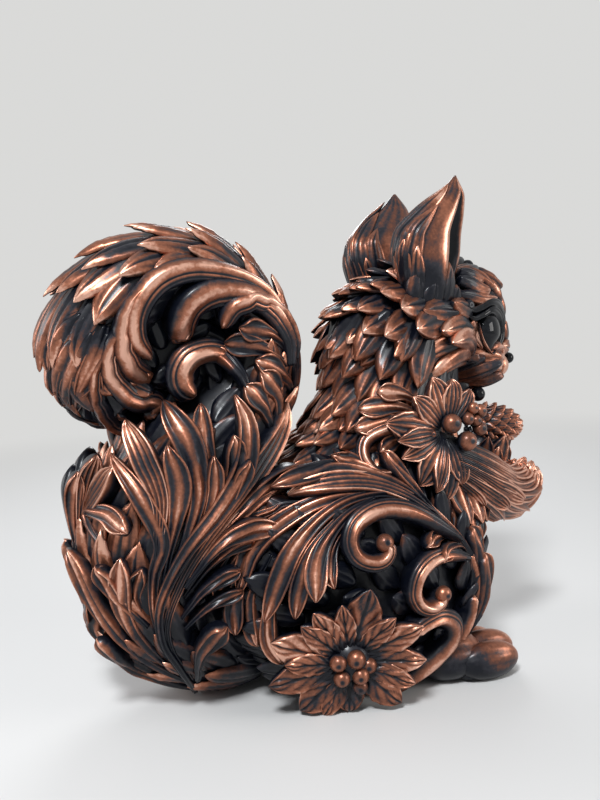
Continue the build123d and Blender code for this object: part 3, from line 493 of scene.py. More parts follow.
# Tail: paths in (x, z), width, tip lift, ribs
tail_blades = (
    (((-54, 4), (-60, 15), (-66, 26), (-67, 37), (-61, 52), (-51, 65), (-40, 77), (-30, 89), (-25, 100)),
     7.5, 1, 2),
    (((-56, 8), (-63, 20), (-68, 30), (-68.5, 42), (-62, 56), (-52, 68), (-44, 80), (-41, 92),
      (-41.5, 100)), 6.5, 4, 1),
    (((-58, 12), (-65, 24), (-70, 36), (-70, 50), (-67, 60), (-70, 72), (-74, 83)), 5.5, 4, 1),
    (((-70, 45), (-68, 60), (-66, 72), (-67, 82), (-67.5, 91)), 7.0, 5, 2),
    (((-69, 42), (-66, 56), (-63, 66), (-60.5, 76), (-61, 86)), 6.5, 5, 1),
    (((-66, 48), (-60, 62), (-56, 74), (-56, 86), (-59, 97)), 8.0, 3, 1),
    (((-60, 58), (-55, 68), (-52, 78), (-52, 90), (-50.5, 98)), 5.5, 3, 1),
    (((-62, 52), (-56, 64), (-52, 74), (-51, 84)), 4.5, 4, 1),
    (((-58, 58), (-51, 68), (-46, 78), (-45, 89.5)), 6.0, 5, 1),
    (((-56, 60), (-48, 70), (-42.5, 83)), 5.0, 4, 1),
    (((-46, 74), (-40, 82), (-40.5, 91)), 5.5, 4, 1),
    (((-58, 54), (-48, 64), (-38, 73), (-27.5, 80)), 5.5, 4, 1),
    (((-60, 50), (-50, 60), (-40, 68), (-30, 73.5)), 4.5, 3, 1),
    (((-62, 46), (-53, 57), (-45, 62), (-38, 63)), 6.0, 5, 1),
    (((-62, 42), (-55, 51), (-47, 57), (-40.5, 58.5)), 4.5, 4, 1),
    (((-63, 36), (-57, 44), (-48, 50)), 4.0, 3, 1),
    (((-62, 32), (-56, 38), (-47, 42.5)), 4.0, 3, 1),
    (((-57, 14), (-57.5, 24), (-53, 34)), 6.5, 4, 1),
)
for k, (path, width, tip, ribs) in enumerate(tail_blades):
    blade("tail_frond_right", path, width * frond_fullness, tail_side_reach, lift=1.0 + layers[k % 4],
          tip=tip * 1.6, ribs=ribs, height=3.2, count=40, depth=6)
rear_blades = (
    (((-60, 12), (-72, 26), (-78, 40), (-77, 56)), 6.5, 3, 1),
    (((-72, 34), (-79, 44), (-82, 54)), 5.0, 3, 1),
    (((-72, 34), (-75, 44), (-72.5, 53)), 4.5, 3, 1),
    (((-58, 10), (-72, 22), (-82, 36), (-88.5, 57)), 6.5, 3, 1),
    (((-58, 8), (-72, 17), (-83, 27), (-90, 40)), 6.5, 3, 1),
    (((-56, 7), (-68, 13), (-76, 20), (-82, 32)), 6.0, 3, 1),
    (((-84, 42), (-88, 56), (-84, 68), (-74, 80)), 7.0, 5, 2),
    (((-87, 48), (-90, 62), (-88, 75), (-84, 87)), 6.5, 5, 2),
    (((-88, 46), (-92, 60), (-92, 72), (-90, 82)), 5.5, 4, 1),
    (((-82, 58), (-85, 66), (-79, 68), (-74, 63)), 6.0, 4, 1),
)
for k, (path, width, tip, ribs) in enumerate(rear_blades):
    blade("tail_rear_frond_right", path, width * frond_fullness, tail_side_reach, lift=layers[k % 4],
          tip=tip * 1.5, ribs=ribs, height=3.0, depth=6)

# Ribs round the curl: path, width, lift
curl_bands = (
    (((-18, 101), (-20.5, 110.2), (-23.6, 122), (-29.8, 133.6), (-40.7, 140.4), (-52.9, 142.7),
      (-63.5, 140.1), (-70.6, 133.7), (-73.2, 126.4), (-70.3, 120.2)), 8.5, 4),
    (((-80.1, 121.6), (-83, 114.2), (-81.8, 106.3), (-76, 100.1), (-68.3, 97.4)), 7.0, 3),
    (((-73.7, 129.4), (-78.7, 123.1), (-80.1, 115.3), (-77, 108.2), (-71, 103.8), (-62.4, 102.4)), 8.0, 4),
    (((-61, 141), (-69.8, 136.1), (-74.9, 128.8), (-76.3, 120.8), (-73.4, 114.1), (-68.6, 109.6),
      (-64.3, 107.8)), 8.0, 5),
    (((-23.4, 112.1), (-24.2, 120.4), (-29.2, 129.7), (-38.1, 135.6), (-47.8, 137.7), (-55.2, 135.4),
      (-58.2, 130.2), (-56.2, 124.2)), 10.5, 5),
    (((-21.8, 113.7), (-23.1, 122), (-27.2, 128.7), (-33.8, 133), (-38.8, 133.2), (-41.1, 129.5)), 7.5, 5),
)
for path, width, lift in curl_bands:
    band("curl_ribs_right", path, width, tail_side_reach, lift=lift, tip=2.0, height=3.4, side=-1, count=80,
         shares=lobe_shares)
band("curl_volute_right", ((-36.2, 103), (-37.5, 110.1), (-40.4, 115.4), (-47.1, 118.5), (-53.6, 117.3),
                           (-57, 113.1), (-56.3, 108.6), (-52.7, 106.4)),
     9.5, tail_side_reach, lift=5, tip=2.5, height=3.8, shares=lobe_shares)
for path in (((-30, 90), (-33, 99), (-37, 105)), ((-28, 92), (-28, 102), (-32, 110)),
             ((-20.9, 102.7), (-26.3, 109.4), (-32.2, 113.7)),
             ((-22.6, 109.7), (-28.6, 116.7), (-37.7, 122.7)), ((-23, 116), (-28, 122), (-36, 127))):
    blade("curl_ribs_right", path, 8.5, tail_side_reach, lift=4, tip=3, height=3.0, count=26)

# Longer leaves that drape down the rear of the curl, on both sides
curl_blades = (
    ((-90, 108.1), (-88.4, 103.4), (-85, 99.8), (-81.5, 96.2)),
    ((-85.4, 107), (-83.2, 102.2), (-80.1, 98.4), (-76, 95)),
    ((-84.7, 130.5), (-89.3, 125.7), (-92, 120.5), (-93, 116)),
    ((-84.8, 126.1), (-88.6, 121.2), (-91.5, 114), (-92, 108)),
    ((-82.8, 125.9), (-86.4, 119.6), (-89, 111.7), (-89.6, 104.6)),
    ((-79.9, 127.7), (-83.4, 119.8), (-86.1, 111.6), (-86.4, 103.2)),
    ((-79.2, 125.6), (-82.2, 119.1), (-85.1, 112.9), (-86.4, 107.8)),
    ((-76, 127), (-78.7, 119.1), (-80.4, 113.5), (-81, 108.2)),
)
for path in curl_blades:
    blade("tail_curl_leaves", path, 8.5, tail_side_reach, lift=2.6, tip=2.2, height=3.2, count=30,
          shares=leaf_shares)
    put("tail_curl_leaves", mirrored(heaps["tail_curl_leaves"][-1]))


# Leaves in rows over the forms
def tail_frame(place, angle):
    """Return a point on the tail and its outward direction."""
    last = len(tail_line) - 1
    k = np.clip(place, 0, 1) * last
    i = min(int(k), last - 1)
    x, z, depth, width = tail_line[i] * (1 - (k - i)) + tail_line[i + 1] * (k - i)
    step = tail_line[i + 1] - tail_line[i]
    back = np.cross(unit((step[0], 0, step[1])), (0, 1, 0))
    c, s = math.cos(math.radians(angle)), math.sin(math.radians(angle))
    point = np.array((x, 0, z)) + back * depth * c - np.array((0, width * s, 0))
    return point, unit(back * c / depth - np.array((0, s / width, 0)))


def tail_row_leaf(name, place, angle, reach, width, lift, curl, turn, profile=leaf_profile(2.4)):
    """Add a leaf that follows the tail from one place to the next."""
    count = 22
    spine, normals = [], []
    for u in np.linspace(0, 1, count):
        point, out = tail_frame(place + reach * u, angle + turn * u)
        spine.append(point + out * (0.6 + lift * u + curl * u ** 3))
        normals.append(out)
    tapered = 2.4 - 1.2 * np.linspace(0, 1, count)
    half = halves(count, leaf_shares, width)
    put(name, strip(np.array(spine), np.array(normals), half, profile, tapered, columns=13))


curl_rows, curl_first, curl_step = 11, 0.45, 0.046
for row in range(curl_rows):
    place = curl_first + curl_step * row
    for a in staggered(row, widest=72, step=24, shift=12, limit=78):
        tail_row_leaf("tail_curl_leaves", place + wobble(0.008), 180 + a + wobble(3), reach=0.1, width=12.5,
                      lift=2.4 + wobble(0.5), curl=3.6, turn=a * 0.12)
rear_rows, rear_first, rear_step = 9, 0.03, 0.042
for row in range(rear_rows):
    place = rear_first + rear_step * row
    for a in staggered(row, widest=66, step=22, shift=11, limit=70):
        tail_row_leaf("tail_rear_leaves", place + wobble(0.006), a + wobble(3), reach=0.085, width=12,
                      lift=2.0 + wobble(0.4), curl=3.0, turn=a * 0.12)
# Darker, lower leaves over the middle of the curl
curl_under_leaves = 130
curl_under_sizes = curl_sizes + np.array((0.0, 4.0, 0.0))
for x, z, y in scattered(curl_under_leaves):
    if abs(y) < 0.1:
        continue
    d = np.array((x, y, z))
    offset = d * curl_under_sizes
    out = d / curl_under_sizes
    free_leaf("tail_curl_leaves", curl_middle + offset - unit(out) * 2.5,
              np.cross((0, 1, 0), offset) + offset * 0.4, out, 12 + wobble(1.5), 8.5,
              dulled(leaf_profile(1.8), 0.45), lift=0.28, curl=-0.04, count=16)
# Darker, lower leaves on the sides, under the fronds and ribs
side_rows, side_first, side_step = 24, 0.01, 0.04
curl_start = 0.44
for row in range(side_rows):
    place = side_first + side_step * row
    name = "tail_rear_leaves" if place < curl_start else "tail_curl_leaves"
    for side in (-1, 1):
        for angle in (66, 90, 114):
            a = side * (angle + (0 if row % 2 else 12))
            tail_row_leaf(name, place, a + wobble(4), reach=0.075, width=10.5, lift=0.9, curl=0.9,
                          turn=side * 6, profile=dulled(leaf_profile(1.5), 0.55))

# The torso's sections, with the neck carried on up behind the head
dressed_sections = np.vstack((torso_sections, ((118, 29.5, 26, 20.5), (134, 32, 27, 21))))


def torso_frame(height, angle):
    """Return a point on the torso at an angle from its front, its outward direction and the way down."""
    lean, length, width = read_at(dressed_sections, height)
    low_lean, low_length, low_width = read_at(dressed_sections, height - 4)
    c, s = math.cos(math.radians(angle)), math.sin(math.radians(angle))
    point = np.array((lean + length * c, width * s, height))
    down = unit(np.array((low_lean + low_length * c, low_width * s, height - 4)) - point)
    out = unit(np.array((c / length, s / width, 0)))
    return point, unit(out - down * np.dot(out, down)), down


back_rows, back_top, back_step = 8, 96, 6
for row in range(back_rows):
    for a in staggered(row, widest=72, step=18, shift=9, limit=86):
        point, out, down = torso_frame(back_top - back_step * row + wobble(1), 180 + a + wobble(2))
        heading = down + (-0.9 * (1 - abs(a) / 120), 0, 0)
        free_leaf("back_leaves", point - out * 1.0, heading, out, 13.5 + wobble(1), 8.6, leaf_profile(1.9),
                  lift=0.24, curl=0.2, count=20)
neck_rows, neck_top, neck_step = 5, 128, 7
for row in range(neck_rows):
    for a in staggered(row, widest=96, step=24, shift=12, limit=100):
        point, out, down = torso_frame(neck_top - neck_step * row + wobble(1), 180 + a + wobble(2))
        heading = down + (-1.3 * (1 - abs(a) / 130), 0, 0) + out * 0.1
        free_leaf("back_leaves", point - out * 1.5, heading, out, 20 + wobble(1.5), 12,
                  leaf_profile(2.4, 1.0), lift=0.2, curl=0.12)
chest_rows, chest_top, chest_step = range(-1, 12), 101, 7
for row in chest_rows:
    for a in staggered(row, widest=60, step=24, shift=12, limit=72):
        point, out, down = torso_frame(chest_top - chest_step * row + wobble(1), a + wobble(2))
        free_leaf("chest_leaves", point - out * 0.8, down, out, 16 + wobble(1.5), 10.5, leaf_profile(2.1),
                  lift=0.14, curl=0.2, count=20)

# Longer leaves that hang beside the chest, below the shoulder flower: root, length, width
hanging_leaves = (
    ((27, -27, 70), 19, 9), ((34, -26, 73), 21, 10), ((41, -23, 71), 20, 10), ((47, -18, 68), 18, 9),
    ((31, -28, 61), 15, 9), ((39, -26, 60), 15, 9.5), ((45, -21, 58), 13, 9))
for root, length, width in hanging_leaves:
    free_leaf("chest_leaves", root, (0.12, 0, -1), (0.35, -1, 0.1), length, width,
              rubbed(blade_profile(2.4), 0.1), lift=0.16, curl=0.1, count=28, depth=4, columns=15)


# Head
def on_head(local):
    """Return places given forwards, leftwards and upwards from the middle of the head."""
    return np.asarray(local) @ head_ways + head_origin


# Eggs of the head: middle, half sizes
skull = ((-4, 0, 0), (27, 21, 20))
face = ((25, 0, 2), (16, 14.5, 20))
muzzle = ((29.5, 0, -14.5), (11.8, 11.5, 8.6))


def skull_frame(around, raised):
    """Return a point on the skull and its outward direction."""
    u, v = math.radians(around), math.radians(raised)
    d = np.array((math.cos(u) * math.cos(v), math.sin(u) * math.cos(v), math.sin(v)))
    centre, sizes = skull
    return on_head(np.array(centre) + d * np.array(sizes)), unit((d / np.array(sizes)) @ head_ways)


def head_side_reach(x, z):
    """How far the head reaches to its right at each (x, z) of its own directions."""
    best = -2.0 + 0 * x
    for centre, sizes in (skull, face, muzzle):
        r2 = off_middle(x, z, centre, sizes)
        best = np.maximum(best, sizes[1] * np.sqrt(np.clip(1 - r2, 0, 1)) - 5 * np.clip(r2 - 1, 0, 1))
    return best


def cheek_leaf(path, width, profile, lift, tip=0.0):
    """Add a leaf or band laid over the side of the head along a path of (x, z)."""
    count = 32
    places, normals = drape(path, head_side_reach, count, lift, tip, power=3)
    half = halves(count, leaf_shares, width)
    put("cheek_leaves_right", strip(on_head(places), normals @ head_ways, half, profile, depth=5.0,
                                    columns=17))


def over_head(name, path, heart, width, profile, depth, columns, proud=0.0, count=30, shares=leaf_shares):
    """Add a leaf or band along a path on the head, facing away from a place in its heart."""
    line = smooth(on_head(path), count)
    out = unit(line - on_head(heart))
    put(name, strip(line + out * proud, out, halves(count, shares, width), profile, depth, columns))


def both_sides(path):
    """Yield a path of the head, and its mirror image too if it starts off the middle."""
    yield path
    if path[0][1]:
        yield [(x, -y, z) for x, y, z in path]


def blended_head():
    """Return the skull, face and muzzle as one smooth skin, with the nose side rubbed to copper."""
    heart = np.array((16.0, 0.0, -3.0))
    u, v = polar(rings=96, around=128)
    ways = np.stack((np.cos(u) + 0 * v, np.sin(u) * np.cos(v), np.sin(u) * np.sin(v)), -1)
    reaches = []
    for centre, sizes in (skull, face, muzzle):
        o = (heart - np.array(centre)) / np.array(sizes)
        d = ways / np.array(sizes)
        b, a, c = np.sum(o * d, -1), np.sum(d * d, -1), np.sum(o * o) - 1
        reaches.append((-b + np.sqrt(np.maximum(b * b - a * c, 0))) / a)
    sharp, skin = 0.9, 0.35
    reach = np.log(sum(np.exp(sharp * r) for r in reaches)) / sharp - skin
    local = heart + ways * reach[..., None]
    x, y, z = local[..., 0], local[..., 1], local[..., 2]
    socket = np.exp(-(((x - 25.5) / 8) ** 2 + ((z + 3) / 8) ** 2)) * ease(6, 11, np.abs(y))
    folds = np.sin((z + 14 + 0.25 * (x - 40) + 0.12 * np.abs(y)) * 1.8) * ease(30, 38, x) * ease(-6, -9, z)
    local = local - ways * (socket * 1.6 - 0.4 * folds)[..., None]
    rub = 0.85 * ease(28, 39, x) * ease(-3, -15, z) + 0.55 * hill(z, 12, 6) * ease(30, 38, x) + 0.3 * folds
    return grid_mesh(on_head(local), rub - 0.6 * socket)


put("head_core", blended_head())

# Ruff: rows of leaves round the back of the skull, each row's height angle and leaf length
ruff_rows = ((62, 16), (45, 19), (28, 21), (11, 22), (-6, 22), (-23, 22), (-40, 22), (-57, 21))
for row, (raised, length) in enumerate(ruff_rows):
    limit = 112 if abs(raised) < 28 else 92
    for a in staggered(row, widest=104, step=26, shift=13, limit=limit):
        point, out = skull_frame(180 + a + wobble(3), raised + wobble(3))
        behind = max(0.0, -float(np.dot(out, ahead)))
        droop = 0.3 + 0.5 * behind + 0.3 * (raised < -20) + 0.5 * (raised < -35)
        heading = -ahead * (1 - 0.55 * behind) - above * droop + out * 0.05
        root = point - out * (1.2 + 3.4 * behind)
        free_leaf("ruff_leaves", root, heading, out, length + wobble(1.5), 12.8, leaf_profile(2.8, 1.2),
                  lift=0.12 + wobble(0.04), curl=0.1, count=28, columns=17)

# Temple: leaves from behind the eye back over the front of the ruff, as (x, z) paths
for path, width in (
        (((15, 4), (8, 5.5), (0, 6)), 8.5), (((12, -2), (4, -1), (-6, -2)), 9.5),
        (((11, 9.5), (4, 11.5), (-4, 12.5)), 8.5), (((4, 4), (-3, 5), (-12, 4)), 10),
        (((3, 13), (-3, 16), (-10, 17.5)), 9), (((4, -7), (-3, -8), (-13, -10.5)), 10),
        (((6, -16), (-2, -18), (-10, -22)), 10), (((14, -19), (6, -21.5), (-3, -25)), 9.5)):
    cheek_leaf(path, width, rubbed(leaf_profile(2.6, 0.9), 0.2), lift=1.0, tip=4)
# Cheek: long leaves that sweep back from the snout, the lowest first
for path, width, tip in (
        (((29, -20.5), (22, -23.5), (12, -26.5)), 7.5, 2.5),
        (((33, -19), (26, -21.8), (17, -24.5)), 7, 2),
        (((30, -15.5), (20.5, -19), (9.5, -22.5)), 8, 3.5),
        (((24.5, -13), (14, -16.5), (2, -18.5)), 8.5, 4.5),
        (((22.5, -12.5), (6, -11.5), (-10, -14.5)), 10.5, 6),
        (((18.5, -10.5), (8, -5), (-3, -5)), 9, 4.5)):
    cheek_leaf(path, width, rubbed(leaf_profile(3.0, 0.9), 0.5), lift=2.0, tip=tip)
# Stripes between the eye and the cheek, and the folds down to the nose
for path, width in (
        (((10.5, -0.5), (15, -5), (20.5, -11.5)), 4.2), (((12.8, 0.6), (18, -4), (23, -10)), 4.2),
        (((15.5, 1), (19.5, -4.5), (26, -10)), 4.0), (((19, -10), (26, -12.5), (33.5, -14.5)), 6.0),
        (((26, -9.5), (31, -9.5), (35, -11.5)), 4.5), (((24, -14.5), (29, -16.5), (33, -18)), 5.5)):
    cheek_leaf(path, width, rubbed(band_profile(1.5), 0.5), lift=0.9)

# Brow: folded leaves over the eyes, and a dark ball beside each ear
eye_brows = (
    (((8, 16.5, 10.5), (13, 16.6, 10.2), (19, 15.8, 9), (25, 14.2, 8.6), (31, 11.6, 9)), 5.5),
    (((10, 15.6, 16), (15, 15.6, 15.2), (21, 14.6, 12.8), (27, 12.4, 11.4)), 7.0),
    (((12, 13.5, 19), (18, 13.4, 17.8), (25, 11.8, 15)), 6.5),
    (((14, 15.5, 12.5), (20, 15.2, 11), (25, 13.8, 10.4)), 5.0),
)
for side in (-1, 1):
    put("brow_leaves", knob(on_head((12, side * 17.4, 6.3)), (0.2, side, 0.1), 2.6, rub_level=0.1))
    for path, width in eye_brows:
        over_head("brow_leaves", [(x, side * y, z) for x, y, z in path], (18, 0, 4), width,
                  rubbed(leaf_profile(2.0), 0.4), depth=4.0, columns=15, proud=0.6)
# Folds from the crown down between the eyes to the nose
nose_folds = (
    (((28, 4, 21.5), (32, 4.6, 19), (36, 4.5, 15.5), (39, 4.2, 11.5)), 4.2),
    (((24, 7.5, 20.5), (31, 9, 17.5), (36, 9, 13)), 4.6),
    (((18, 9, 21), (24, 12, 17.5), (29, 13, 12.5)), 4.6),
    (((30, 9, 10), (35, 7.5, 9.5), (38.5, 4.4, 7), (40.5, 2.4, 2)), 5.0),
    (((40.6, 2.2, 3), (40.6, 2.0, -3), (40.8, 2.4, -8), (42, 2.6, -12)), 3.4),
    (((12, 5, 21.5), (5, 6, 20.5), (-3, 7, 19.5)), 6.5),
)
for side in (-1, 1):
    for path, width in nose_folds:
        over_head("brow_leaves", [(x, side * y, z) for x, y, z in path], (22, 0, 0), width,
                  rubbed(blade_profile(1.6), 0.25), depth=3.0, columns=13, proud=0.2, shares=fold_shares)
# Leaves up the forehead, over the crown and down beside the nose
forehead_leaves = (
    (((41, 0, -6), (41.2, 0, 1), (39.5, 0, 8), (35.5, 0, 14)), 6.5),
    (((40, 3, 0), (38, 5, 7), (34, 6, 13)), 5.5), (((37, 0, 11), (33, 0, 16.5), (27, 0, 20.5)), 7),
    (((36, 6, 6), (33, 8.5, 12), (28, 9, 17)), 6), (((41, 3.5, -7), (38.5, 6.5, -4), (36, 8.2, 1)), 5),
    (((24, 0, 24), (16, 0, 23), (7, 0, 20)), 7.5), (((26, 6, 20), (19, 8, 20), (11, 8, 18)), 6.5),
    (((42, 2, -11), (39.5, 6, -10), (34.5, 9.5, -9)), 5.5),
)
forehead_fullness = 1.3
for one_side, width in forehead_leaves:
    for path in both_sides(one_side):
        over_head("brow_leaves", path, (20, 0, -2), width * forehead_fullness,
                  rubbed(leaf_profile(2.0), 0.3), depth=4.0, columns=15, proud=1.0)

# Crown: short leaves between the ears, and beads along the middle
for place, length in (((6, 0, 19.5), 15), ((1, 5, 19), 14), ((-5, 0, 19), 15), ((10, 6, 18.5), 11),
                      ((-9, 6, 17), 14), ((-14, 0, 16.5), 15)):
    for local, in both_sides([place]):
        root = on_head(local)
        out = unit(root - on_head((-2, 0, 0)))
        free_leaf("brow_leaves", root - out * 0.5, -ahead + above * 0.5, out, length, 9.5,
                  dulled(leaf_profile(2.6, 1.0), 0.6), lift=0.25, curl=0.1)
for local, radius, rub_level in (((27, 0, 22.5), 2.6, 0.15), ((16, 0, 22.5), 2.0, 0.3),
                                 ((20, 0, 22.6), 2.0, 0.3)):
    put("brow_leaves", knob(on_head(local), above, radius, rub_level))

# Ear: a pointed shell, as share of its height, forward place, half length and half width
ear_sections = np.array((
    (0, -3.0, 7.5, 5), (0.17, -2.4, 13.4, 7.4), (0.36, -1.8, 15.8, 8), (0.53, -0.9, 15.2, 7.4),
    (0.7, 3, 11.1, 5.6), (0.86, 6.8, 6.0, 3.2), (0.96, 6.9, 2.2, 1.3), (1, 7, 0.5, 0.4)))
ear_foot, ear_height = 10, 43
ear_back_leaves = (
    # angle round the shell at the leaf's root and tip, share of the height at both, width
    (-158, -138, 0.04, 0.74, 9), (-188, -160, 0.02, 0.93, 9.5), (-220, -195, 0.02, 0.82, 9.5),
    (-250, -228, 0.04, 0.66, 9), (-150, -137, 0.02, 0.42, 7), (-176, -160, 0.0, 0.5, 8),
    (-207, -192, 0.0, 0.46, 8), (-236, -222, 0.0, 0.4, 8))


def ear():
    """Add a folded ear with a hollow that faces forwards and outwards, and leaves on its back."""
    rows, around, wall = 50, 44, 1.3
    t = np.linspace(0, 1, rows)
    forward, long, wide = read_at(ear_sections, t)
    for values in (forward, long, wide):
        even_out(values)
    sideways = -16 - 3 * (forward + 3) / 10
    z = ear_foot + ear_height * t - 5 * (1 - ease(0, 0.2, t))
    # The shell runs round the ear's back from its near lip to its far lip
    v = np.radians(np.linspace(-88, -337, around))
    skins = []
    for inset in (0, wall):
        length, width = np.maximum(long - inset, 0.25), np.maximum(wide - inset, 0.15)
        skins.append(np.stack((forward[:, None] + length[:, None] * np.cos(v),
                               sideways[:, None] + width[:, None] * np.sin(v), z[:, None] + 0 * v), -1))
    ring = np.concatenate((skins[0], skins[1][:, ::-1]), 1)
    j = np.arange(around)
    lip = hill(j, 0, 1.5) + hill(j, around - 1, 1.5)
    high = t[:, None]
    streak = 0.5 + 0.5 * np.cos(j * 1.3)
    outer = (0.42 + 0.5 * lip + 0.14 * streak)[None, :] * (0.2 + 0.8 * ease(0.02, 0.4, high))
    inner = (0.04 + 0.9 * lip)[None, ::-1] * (0.3 + 0.6 * high)
    put("ear_right", inside_out(grid_mesh(on_head(ring), np.concatenate((outer, inner), 1))))
    # Long leaves laid over the back of the shell, from the base towards the tip
    count = 34
    u = np.linspace(0, 1, count)
    for start, end, low, top, width in ear_back_leaves:
        at = low + (top - low) * u
        turn = np.radians(start + (end - start) * u)
        c, side, a, b = (np.interp(at, t, values) for values in (forward, sideways, long, wide))
        out = unit(np.stack((np.cos(turn) / a, np.sin(turn) / b, 0.012 + 0 * u), -1))
        line = np.stack((c + a * np.cos(turn), side + b * np.sin(turn), ear_foot + ear_height * at), -1)
        line = line + out * (0.2 + 0.9 * u ** 3)[:, None]
        put("ear_right", strip(on_head(line), out @ head_ways, halves(count, leaf_shares, width),
                               leaf_profile(2.0, 0.4), depth=1.6 - 0.6 * u))


ear()

# Leaves round the ear's foot
ear_foot_leaves = (
    (((-8, -19, 5), (-6.5, -20.5, 10), (-6, -21.5, 16)), 9.0),
    (((-3, -19, 5.5), (-1, -20.8, 11), (0.5, -21.8, 22)), 9.5),
    (((-12.4, -18.5, 6), (-12.2, -20, 13), (-12.8, -21, 21)), 8.5),
    (((2.4, -18.5, 7), (4.2, -19.5, 10.5), (5.0, -20, 14)), 7.5),
)
for path, width in ear_foot_leaves:
    count = 28
    out = unit(np.tile(np.array((0.1, -1, 0.15)), (count, 1)) @ head_ways)
    put("ear_right", strip(on_head(smooth(path, count)), out, halves(count, leaf_shares, width),
                           dulled(leaf_profile(2.2), 0.75), depth=4.0))

# Eyes: glossy drops under thick lids
eye_turn = math.radians(-68)
eye_centre = np.array((25.4, -12.9, -3.4))
eye_out = np.array((math.cos(eye_turn), math.sin(eye_turn), 0))
eye_side = np.array((-eye_out[1], eye_out[0], 0))
eye_proud, eye_half_length, eye_half_height = 4.0, 6.7, 7.4
u, v = polar(rings=36, around=48)
narrow = 1 - 0.55 * ease(0.1, 1.0, -np.cos(u))
drop = ((np.sin(u) * np.cos(v) * narrow * eye_proud)[..., None] * eye_out
        + (np.sin(u) * np.sin(v) * narrow * eye_half_length)[..., None] * eye_side
        + (np.cos(u) * (eye_half_height + 0.8 * (np.cos(u) < 0)) + 0 * v)[..., None] * above)
put("eye_right", grid_mesh(on_head(drop + eye_centre), np.zeros(drop.shape[:2])))
eye_heart = (23.5, -2, -3)
lid_fullness = 1.15
lids = (
    (((9.5, -18.6, 3.4), (14.5, -17.6, 1.6), (19.4, -16.6, 2.6), (24.5, -15.6, 4.4), (29.5, -13.2, 3.2),
      (33.2, -10.8, 0), (33.6, -10.2, -5), (30.5, -12, -10.5)), 2.5),
    (((8, -19, 6.6), (13, -18, 4.6), (18, -17, 5.2), (24.5, -15.4, 7.2), (30.5, -12.6, 6.6), (35, -9.4, 3),
      (36, -8.6, -3), (34.5, -9.4, -8)), 2.8),
)
for path, width in lids:
    over_head("eyelid_right", path, eye_heart, width * lid_fullness, band_profile(1.9), depth=3.2,
              columns=13, count=56, shares=lid_shares)
# A thin rubbed rim under each eye
eye_rim = ((18, -16.6, 0), (19, -16.3, -4.5), (22, -15, -8.5), (26.5, -13.6, -12), (29.5, -12.4, -10.5))
over_head("cheek_leaves_right", eye_rim, eye_heart, 1.6, band_profile(1.0), depth=1.5, columns=9,
          shares=rim_shares)
put("nose", knob(on_head((47.0, 0, -14.9)), ahead, 2.3, rub_level=0.0, dimple=0.0, rings=20, around=30))
put("nose_bulb", knob(on_head((40.6, 0, -17.4)), ahead, 4.9, rub_level=1.0, dimple=0.02, rings=24,
                      around=36))

# Shoulder: a flower, its berries and the scroll behind it
shoulder_root = np.array((31.0, -29.5, 86.0))
shoulder_out = unit((0.15, -1.0, 0.08))
shoulder_petals = (
    # tip in (x, z), width, lift
    ((26, 105), 11, 0.2), ((17, 99), 9, 0.26), ((6, 91), 12, 0.16), ((11, 79), 9, 0.22),
    ((18, 69), 13, 0.14), ((28, 62), 12, 0.12), ((36, 67), 9, 0.16), ((34, 104), 9, 0.26),
    ((42, 100), 8, 0.2), ((9, 85), 8, 0.28), ((23, 66), 7, 0.26))
for (x, z), width, lift in shoulder_petals:
    aim = np.array((x, shoulder_root[1], z)) - shoulder_root
    length = float(np.linalg.norm(aim))
    free_leaf("shoulder_flower_right", shoulder_root + unit(aim) * 2.5, aim, shoulder_out, length - 2.5,
              width, blade_profile(2.4, 2), lift=lift, curl=-0.12, shares=petal_shares, count=34, depth=3,
              columns=17)
shoulder_berries = (
    # place from the flower's root, radius
    (1, -3, 3, 3.5), (6.5, -3.5, -3.5, 3.5), (8, -2, 4, 2.3), (12, -1, 3, 2.0), (10.5, -1.5, 7.5, 2.2),
    (14, 0, 0, 2.6), (-6.5, -2, 0, 1.8), (-9.5, -1.5, -0.5, 1.6), (15, 1, 6, 2.5))
for x, y, z, radius in shoulder_berries:
    berry = shoulder_root + (x, y, z)
    put("shoulder_berries_right", knob(berry, shoulder_out, radius, rub_level=0.65, dimple=0.06))
band("shoulder_scroll_right", ((27, 88), (18, 89), (10, 87.5), (4, 84), (2, 78.5), (4.5, 74), (9, 73.5),
                               (10.5, 76.5)),
     5.5, shoulder_side_reach, lift=1.5, tip=1.5, height=3.0, ball=2.0)
for path, width in ((((27, 90), (16, 95), (5, 94)), 8), (((27, 87), (15, 90.5), (2, 87)), 8),
                    (((26, 93), (19, 99), (11, 100)), 7), (((25, 84), (15, 84.5), (7, 80)), 6)):
    blade("shoulder_scroll_right", path, width, shoulder_side_reach, lift=0.8, tip=3, height=2.6, count=30)

# Arms: a fan of leaf blades from the shoulder flower out to the cupped hand
arm_line = (
    # place and radius
    (24, -24, 84, 9), (36, -25, 76, 9.5), (50, -20, 67, 9), (63, -13, 60, 8.5), (74, -7, 60, 8),
    (80, -5, 67, 6))
arm_walk = smooth(arm_line, 60)
arm_lobes = (
    # turn about the arm, start and end along it, width, how far the tip curls out
    (-78, 0.0, 0.98, 8, 0), (-50, 0.0, 1.0, 8.5, 0.5), (-22, 0.0, 1.0, 9, 0.5), (6, 0.0, 0.99, 9, 1),
    (34, 0.0, 0.93, 9.5, 2), (62, 0.02, 0.84, 9.5, 3), (88, 0.05, 0.7, 9, 3.5), (112, 0.05, 0.55, 9, 3.5),
    (140, 0.1, 0.8, 9, 2), (20, 0.0, 0.7, 6.5, 2.5), (48, 0.0, 0.6, 6.5, 3), (75, 0.0, 0.46, 6.5, 3))
